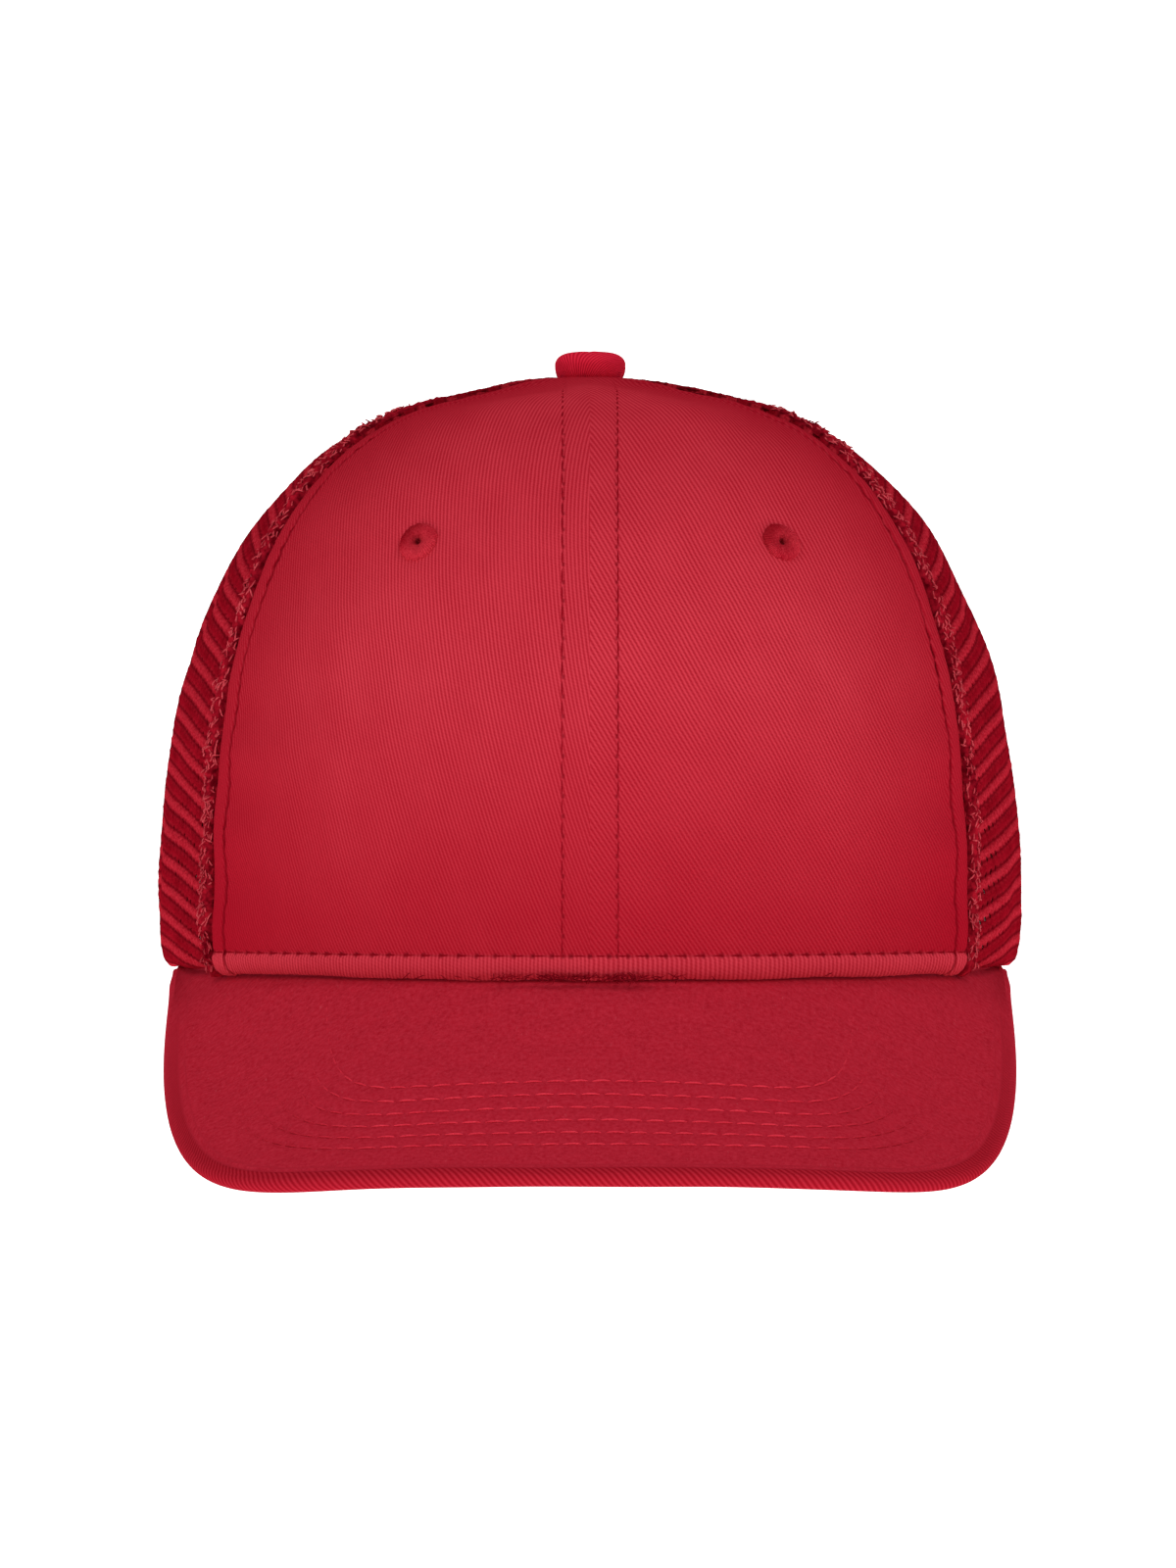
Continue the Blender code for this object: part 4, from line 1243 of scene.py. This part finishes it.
def visor_top():
    turn = visor_turns(VISOR_COLUMNS)[None, :]
    out = np.linspace(0, 1, VISOR_TOP_ROWS)[:, None]
    points = visor_point(turn, out)
    normal = visor_frame(turn, out)[1]
    x, y = points[..., 0], points[..., 1]
    lift = visor_relief(x, y, x) * smooth(0.0, 0.06, out + 0 * turn)
    lift = lift + 0.9 * MM * smooth(0.88, 1.0, np.abs(turn))
    points = points + normal * lift[..., None]
    bead = VISOR_THICKNESS / 2
    outward, up = visor_frame(turn, np.ones_like(turn))
    bends = np.linspace(0, radians(158), VISOR_LIP_ROWS + 1)[1:]
    edge = visor_point(turn, np.ones_like(turn))[0]
    rim = visor_relief(edge[:, 0], edge[:, 1], edge[:, 0])[:, None]
    taper = 0.5 + 0.5 * smooth(0.0, 0.045, 1 - np.abs(turn[0]))[:, None]
    lip = []
    for bend in bends:
        swell = bead + rim * np.exp(-bend * 2) + 0.04 * MM * np.sin(x[-1] / (5.2 * MM))[:, None]
        swell = swell * taper
        lip.append(edge + outward[0] * swell * sin(bend) - up[0] * (bead * taper - swell * cos(bend)))
    tucks = np.linspace(2.4 * MM, 0.4 * MM, 5)[:, None]
    inner = points[:1]
    inward = unit(inner * [1, 1, 0])
    flap = inner - inward * (0.25 * tucks)[..., None] + tucks[..., None] * np.array([0, 0, 1.0])
    points = np.concatenate([flap, points, np.stack(lip)])[::-1]
    inside = from_outline(x, y)
    mask = 1 - smooth(1.2 * MM, 1.7 * MM, inside)
    lip_mask = np.ones((VISOR_LIP_ROWS, VISOR_COLUMNS))
    mask = np.concatenate([np.repeat(mask[:1], 5, axis=0), mask, lip_mask])[::-1]
    mask = mask * (1 - smooth(0.50, 0.85, np.abs(turn)))
    arc = walk(edge)[None, :] + 0 * out
    flat_x = np.where(inside < 3 * MM, arc, x)
    lip_x = np.repeat(arc[:1], VISOR_LIP_ROWS, axis=0)
    flat_x = np.concatenate([np.repeat(flat_x[:1], 5, axis=0), flat_x, lip_x])[::-1]
    lip_y = np.stack([0 * arc[0] - bead * bend for bend in bends])
    flat_y = np.where(inside < 3 * MM, inside, y)
    flat_y = np.concatenate([flat_y[:1] + tucks, flat_y, lip_y])[::-1]
    pattern = np.stack([flat_x, flat_y, mask], axis=2)
    top = cloth("visor_top_cloth", points, 0.6 * MM, pattern=pattern)
    dress(top, VISOR_CLOTH, ["visor_top_cover"])


def visor_under():
    turn = visor_turns(220)[None, :]
    out = np.linspace(0, 1, 84)[:, None]
    surface = visor_point(turn, out)
    normal = visor_frame(turn, out)[1]
    x, y = surface[..., 0], surface[..., 1]
    inside = from_outline(x, y)
    lift = 0.04 * MM * ripple(x, y, 12 * MM, 81)
    for number, row in enumerate(VISOR_ROWS):
        pull = 0.75 + 0.25 * np.cos(2 * pi * x / VISOR_STITCH[0] + number)
        lift = lift - 0.22 * MM * pull * ridge(inside, row, 0.8 * MM)
    points = surface - normal * (VISOR_THICKNESS + lift)[..., None]
    tucks = np.linspace(VISOR_THICKNESS + 1.6 * MM, 0.3 * MM, 7)[:, None]
    inner = points[:1]
    flap = inner - unit(inner * [1, 1, 0]) * (0.9 * MM * smooth(0, 1.2 * MM, tucks))[..., None]
    flap = flap + tucks[..., None] * np.array([0, 0, 1.0])
    points = np.concatenate([flap, points])
    y = np.concatenate([y[:1] + tucks, y])
    x = np.concatenate([np.repeat(x[:1], len(tucks), axis=0), x])
    pattern = np.stack([x, y, 0 * x], axis=2)
    under = cloth("visor_under_cloth", points, 0.5 * MM, pattern=pattern)
    dress(under, VISOR_CLOTH, ["visor_under_cover"])


def visor_stitching():
    pitch, length, radius = VISOR_STITCH
    above, below = [], []
    for number, distance in enumerate(VISOR_ROWS):
        x, y = row_curve(distance)
        turn, out = visor_place(x, y)
        surface = visor_point(turn, out)
        normal = visor_frame(turn, out)[1]
        relief = (visor_relief(x, y, x) - 0.35 * MM * beside(x, y, distance))[:, None]
        above.append(
            stitch_row(surface + normal * relief, normal, pitch, length, radius, 90 + number, proud=0.75)
        )
        under = surface - normal * (VISOR_THICKNESS + 0.30 * MM)
        below.append(stitch_row(under, -normal, pitch, length, radius * 0.85, 110 + number, proud=0.4))
    stitching("visor_stitches", above, material=VISOR_THREAD)
    stitching("visor_under_stitches", below, material=VISOR_THREAD)


def hem_lint():
    """Loose fibres caught in the fold between the crown's hem and the middle of the visor, dark partly in
    their own colour and partly as painted shade of that fold.
    """
    random = np.random.default_rng(400)
    count = 150
    x = random.normal(0, 11 * MM, count)
    y = -np.sqrt(np.maximum(1 - (x / HALF_WIDTH) ** 2, 0)) * HALF_LENGTH
    ahead = (0.2 + 1.6 * random.random(count)) * MM
    height = (-0.9 + 1.0 * random.random(count)) * MM
    middle = np.stack([x, y - ahead, height], axis=1)
    turn = random.normal(0, 0.7, count)
    tangent = np.stack([np.cos(turn), -0.3 * np.abs(np.sin(turn)), np.sin(turn)], axis=1)
    facing = np.tile([0.0, -1.0, 0.0], (count, 1))
    length = (0.8 + 1.8 * random.random(count)) * MM
    bow = random.random(count) * 0.4 * MM
    threads = loose_threads(middle, unit(tangent), facing, length, bow, 0.10 * MM)
    return stitching("hem_lint", [threads], material=SHADE_DARKENED_LINT)


# Inside of the crown

TAPE_DEPTH = 2.35 * MM


def inner_sheet(name, angles, ups, depth, thickness, material, replaces, rows=60, columns=40,
                relief=None):
    """A sheet between two angles and two heights, at a depth under the crown."""
    angle = np.linspace(*angles, columns)[None, :] + np.zeros((rows, 1))
    up = np.linspace(0, 1, rows)[:, None]
    low, high = (np.asarray(u, float) for u in ups)
    ways = low + (high - low) * up + 0 * angle
    base = lay(angle, ways)[0]
    legs = np.linalg.norm(np.diff(base, axis=1), axis=2)
    across = np.concatenate([np.zeros((rows, 1)), np.cumsum(legs, axis=1)], axis=1)
    lift = -depth + (0 if relief is None else relief(across, ways))
    points = lay(angle, ways, lift)[0]
    pattern = np.stack([across, ways, 0 * ways], axis=2)
    made = cloth(name, points, thickness, pattern=pattern)
    dress(made, material, replaces)


def backing(side, word):
    first, last = (0.0, FRONT_SEAM) if side > 0 else (-FRONT_SEAM, 0.0)
    angle, up, from_first, from_last = panel_grid(first, last, 60, 90, 0.4 * MM, 6.8 * MM)
    middle = eyelet_place(side)[0]
    base = lay(angle, up)[0]
    away = np.linalg.norm(base - middle, axis=2)
    from_centre, from_side = (from_first, from_last) if side > 0 else (from_last, from_first)
    twill_lift = front_lift(side, from_centre, from_side, up, from_apex(angle, up))
    twill_back = twill_lift - TWILL_THICKNESS - 0.1 * MM
    lift = np.minimum(-0.97 * MM + 0.05 * MM * ripple(from_first, up, 16 * MM, 130 + side), twill_back)
    points = lay(angle, up, lift)[0]
    pattern = np.stack([from_first, up, 0 * up], axis=2)
    kept = (away > 3.2 * MM).ravel()
    made = cloth(f"front_backing_{word}_buckram", points, 0.45 * MM, kept=kept, pattern=pattern)
    dress(made, BUCKRAM, [f"front_backing_{word}"])


def tape(name, seam, low, node):
    """A strip of tape over a seam, inside, with its two rows of stitches."""
    half = 7 * MM
    rows = 150
    top = float(up_at(np.array(seam), np.array(share_at_radius(16 * MM))))
    up = np.linspace(low, top, rows)[:, None]
    offset = np.linspace(-half, half, 17)[None, :]
    near = girth_up(np.full_like(up, seam), up)
    angle = seam + offset / near
    lift = -TAPE_DEPTH - 0.10 * MM * ridge(np.abs(offset), 5.4 * MM, 0.6 * MM)
    lift = lift + 0.04 * MM * ripple(offset, up, 8 * MM, 140) + 0 * up
    points = lay(angle, up + 0 * offset, lift)[0]
    pattern = np.stack(np.broadcast_arrays(offset, up, 0 * up * offset), axis=2)
    made = cloth(name, points, 0.42 * MM, pattern=pattern)
    dress(made, TAPE_CLOTH, [node])
    rows_of_thread = []
    for number, column in enumerate((-5.4 * MM, 5.4 * MM)):
        line, facing = lay(seam + column / near[:, 0], up[:, 0], -TAPE_DEPTH - 0.52 * MM)
        row = stitch_row(line, -facing, 3.9 * MM, 3.3 * MM, 0.2 * MM, 150 + number, proud=0.5)
        rows_of_thread.append(row)
    return rows_of_thread


def sweatband():
    angles = (-radians(147.5), radians(147.5))
    high = 31 * MM - HEM_ROLL

    def relief(across, up):
        hem = -0.35 * MM * ridge(up, 0, 1.2 * MM)
        stitch = 0.18 * MM * ridge(up, 27 * MM, 0.6 * MM) + 0.18 * MM * ridge(up, 3 * MM, 0.6 * MM)
        soft = 0.22 * MM * ripple(across, up * 2, 30 * MM, 160) + 0.06 * MM * ripple(across, up, 6 * MM, 161)
        return hem + stitch + soft * smooth(0, 6 * MM, up) * 0.6

    inner_sheet(
        "sweatband_cloth", angles, (0.1 * MM, high), 4.45 * MM, 0.55 * MM, BAND_CLOTH,
        ["sweatband"], rows=34, columns=420, relief=relief,
    )
    rows = []
    for number, height in enumerate((3 * MM, 27 * MM)):
        angle = np.linspace(*angles, 1200)
        line, facing = lay(angle, height + 0 * angle, -5.12 * MM)
        rows.append(stitch_row(line, -facing, 4 * MM, 3.4 * MM, 0.2 * MM, 170 + number, proud=0.5))
    return rows


def back_angle(x, height):
    angle = np.full_like(x, pi)
    share_height = np.clip(height, 0.0, CROWN_HEIGHT)
    for _ in range(8):
        wide = crown_profile(angle, share_at(angle, share_height))[0]
        angle = pi - np.arcsin(np.clip(x / (HALF_WIDTH * wide), -1, 1))
    return angle


def arch_place(turn, beyond):
    """Points of the crown round the rear opening, this far beyond its edge, and their normals."""
    bend = np.clip(turn, 0, pi) + 0 * beyond
    radius = ARCH_RADIUS + beyond
    height = ARCH_STILT + radius * np.sin(bend) - ARCH_RADIUS * np.abs(turn - bend)
    angle = back_angle(radius * np.cos(bend), height)
    share = share_at(angle, np.maximum(height, 0.0))
    return crown_point(angle, share), crown_axes(angle, share)[2]


def arch_binding():
    """Tape folded over the edge of the rear opening."""
    width, outside, inside = 7 * MM, 0.95 * MM, 0.8 * MM + 0.95 * MM
    clear = 0.95 * MM
    fold = [(width, outside - 0.25 * MM), (width - 0.8 * MM, outside)]
    fold += [(width * 0.66, outside + 0.10 * MM), (width * 0.4, outside + 0.14 * MM)]
    fold += [(0.8 * MM, outside), (0.0, outside - 0.05 * MM)]
    turns = np.linspace(pi / 2, -pi / 2, 9)[1:-1]
    half = (outside + inside) / 2
    fold += [(-clear * cos(t), outside - half + half * sin(t)) for t in turns]
    fold += [(0.0, -inside), (0.8 * MM, -inside - 0.02 * MM), (width * 0.5, -inside - 0.12 * MM)]
    fold += [(width - 0.8 * MM, -inside), (width, -inside + 0.25 * MM)]
    fold = np.array(fold)[::-1]
    stilt = ARCH_STILT / ARCH_RADIUS
    legs = np.linspace(-stilt, 0, 14)[:-1], np.linspace(pi, pi + stilt, 14)[1:]
    turn = np.concatenate([legs[0], np.linspace(0, pi, 190), legs[1]])
    beyond = fold[:, 0][:, None] + 0 * turn[None, :]
    waves = 1 + 0.05 * ripple(turn[None, :] * ARCH_RADIUS, beyond, 6 * MM, 180)
    base, normal = arch_place(turn[None, :], beyond)
    lift = fold[:, 1][:, None] * waves
    points = base + normal * lift[..., None]
    round_arch = turn[None, :] * ARCH_RADIUS + 0 * beyond
    pattern = np.stack([round_arch, walk(fold)[:, None] + 0 * beyond, 0 * beyond], axis=2)
    made = cloth("rear_arch_binding_tape", points, 0.42 * MM, pattern=pattern)
    dress(made, TAPE_CLOTH, ["rear_arch_binding"])


def arch_stitching():
    rows = []
    turn = np.linspace(-0.18, pi + 0.18, 500)
    base, normal = arch_place(turn, 5.2 * MM)
    for number, (lift, sign) in enumerate(((1.05 * MM, 1), (-1.85 * MM - 0.45 * MM, -1))):
        line = base + normal * lift
        rows.append(stitch_row(line, normal * sign, 3.6 * MM, 3.0 * MM, 0.21 * MM, 190 + number, proud=0.4))
    return rows


# The whole cap

front_folds = []
for side, word, material in ((1, "left", LEFT_TWILL), (-1, "right", RIGHT_TWILL)):
    front_panel(side, word, material)
    eyelet(side, word)
    backing(side, word)
    low_angle, high_angle = sorted((side * FRONT_SEAM, side * SIDE_SEAM))
    net_panel(
        f"side_mesh_{word}_net", low_angle, high_angle, [f"side_mesh_{word}"],
        300 + side,
    )
    low_angle, high_angle = sorted((side * SIDE_SEAM, side * pi))
    net_panel(
        f"back_mesh_{word}_net", low_angle, high_angle, [f"back_mesh_{word}"],
        310 + side, arch=True,
    )
    front_folds.append(
        seam_fold(f"front_seam_fold_{word}", side * FRONT_SEAM, side, 4.2 * MM, 1.35 * MM, 320 + side)
    )
    for end, way, seed in (("front", -side, 330), ("rear", side, 340)):
        name = f"back_seam_fold_{word}_{end}"
        seam_fold(name, side * SIDE_SEAM, way, 2.2 * MM, 0.6 * MM, seed + side, lumps=0.12)

fluff("front_seam_fluff", front_folds, 460, 350)
front_stitching()
button_cover()
visor_top()
visor_under()
visor_stitching()
hem_lint()

inner_rows = []
for name, seam, low in (
    ("front_center_tape", 0.0, 0.3 * MM),
    ("front_side_tape_left", FRONT_SEAM, 0.3 * MM),
    ("front_side_tape_right", -FRONT_SEAM, 0.3 * MM),
    ("back_side_tape_left", SIDE_SEAM, 0.3 * MM),
    ("back_side_tape_right", -SIDE_SEAM, 0.3 * MM),
    ("back_center_tape", pi, 66 * MM),
):
    inner_rows += tape(f"{name}_woven", seam, low, name)
stitching("tape_stitches", inner_rows)
stitching("sweatband_stitches", sweatband())
arch_binding()
stitching("arch_stitches", arch_stitching())

inner_sheet(
    "sweatband_padding_foam", (-radians(70), radians(70)), (3 * MM - HEM_ROLL, 27 * MM - HEM_ROLL), 3.15 * MM,
    0.7 * MM, FOAM, ["sweatband_padding"], rows=26, columns=160,
)

inner_sheet(
    "size_label_woven", (radians(14), radians(30)), (37 * MM, 53 * MM), 1.95 * MM, 0.22 * MM, LABEL,
    ["size_label"], rows=24, columns=30,
)

NODE_FINISHES = {
    "visor_board": BOARD,
    "hole_strap": STRAP,
    "hole_strap_tab": STRAP,
    "peg_strap": STRAP,
    "peg_strap_tab": STRAP,
    "button_shell": METAL,
    "button_rivet": METAL,
}
for name, material in NODE_FINISHES.items():
    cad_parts[name].data.materials.clear()
    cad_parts[name].data.materials.append(material)


# Studio


def studio():
    floor_mesh = bpy.data.meshes.new("floor")
    corners = [(-9, -5, 0), (9, -5, 0), (9, 6, 0), (-9, 6, 0), (-9, 8, 5), (9, 8, 5)]
    floor_mesh.from_pydata(corners, [], [(0, 1, 2, 3), (3, 2, 5, 4)])
    floor = bpy.data.objects.new("floor", floor_mesh)
    floor.location = (0, 0, -0.60)
    bpy.context.scene.collection.objects.link(floor)
    pale = Finish("floor_white", 0.9, specular=0.0)
    pale.shader.inputs["Emission Strength"].default_value = 0.85
    speck = pale.noise(pale.place("object"), 0.4, 2)
    pale.colour(pale.blend(speck, (0.93, 0.93, 0.93), (0.95, 0.95, 0.95)))
    floor_mesh.materials.append(pale.material)

    world = bpy.data.worlds.new("studio")
    world.use_nodes = True
    world.node_tree.nodes["Background"].inputs[0].default_value = (1, 1, 1, 1)
    world.node_tree.nodes["Background"].inputs[1].default_value = 0.40
    bpy.context.scene.world = world

    for name, aside in (("key_left", 1.5), ("key_right", -1.5)):
        light = bpy.data.lights.new(name, "AREA")
        light.size = 1.3
        light.energy = 23
        lamp = bpy.data.objects.new(name, light)
        lamp.location = (aside, -2.1, 2.25)
        lamp.rotation_euler = (-lamp.location).to_track_quat("-Z", "Y").to_euler()
        bpy.context.scene.collection.objects.link(lamp)

    camera = bpy.data.cameras.new("camera")
    camera.lens = 247.5
    camera.sensor_width = 36
    eye = bpy.data.objects.new("camera", camera)
    distance, tilt, aim, aside = 2.2, radians(0.25), 0.0369, -0.4 * MM
    eye.location = (aside, -distance * cos(tilt), aim + distance * sin(tilt))
    eye.rotation_euler = (pi / 2 - tilt, 0, 0)
    bpy.context.scene.collection.objects.link(eye)
    bpy.context.scene.camera = eye
    bpy.context.scene.view_settings.view_transform = "Standard"


studio()
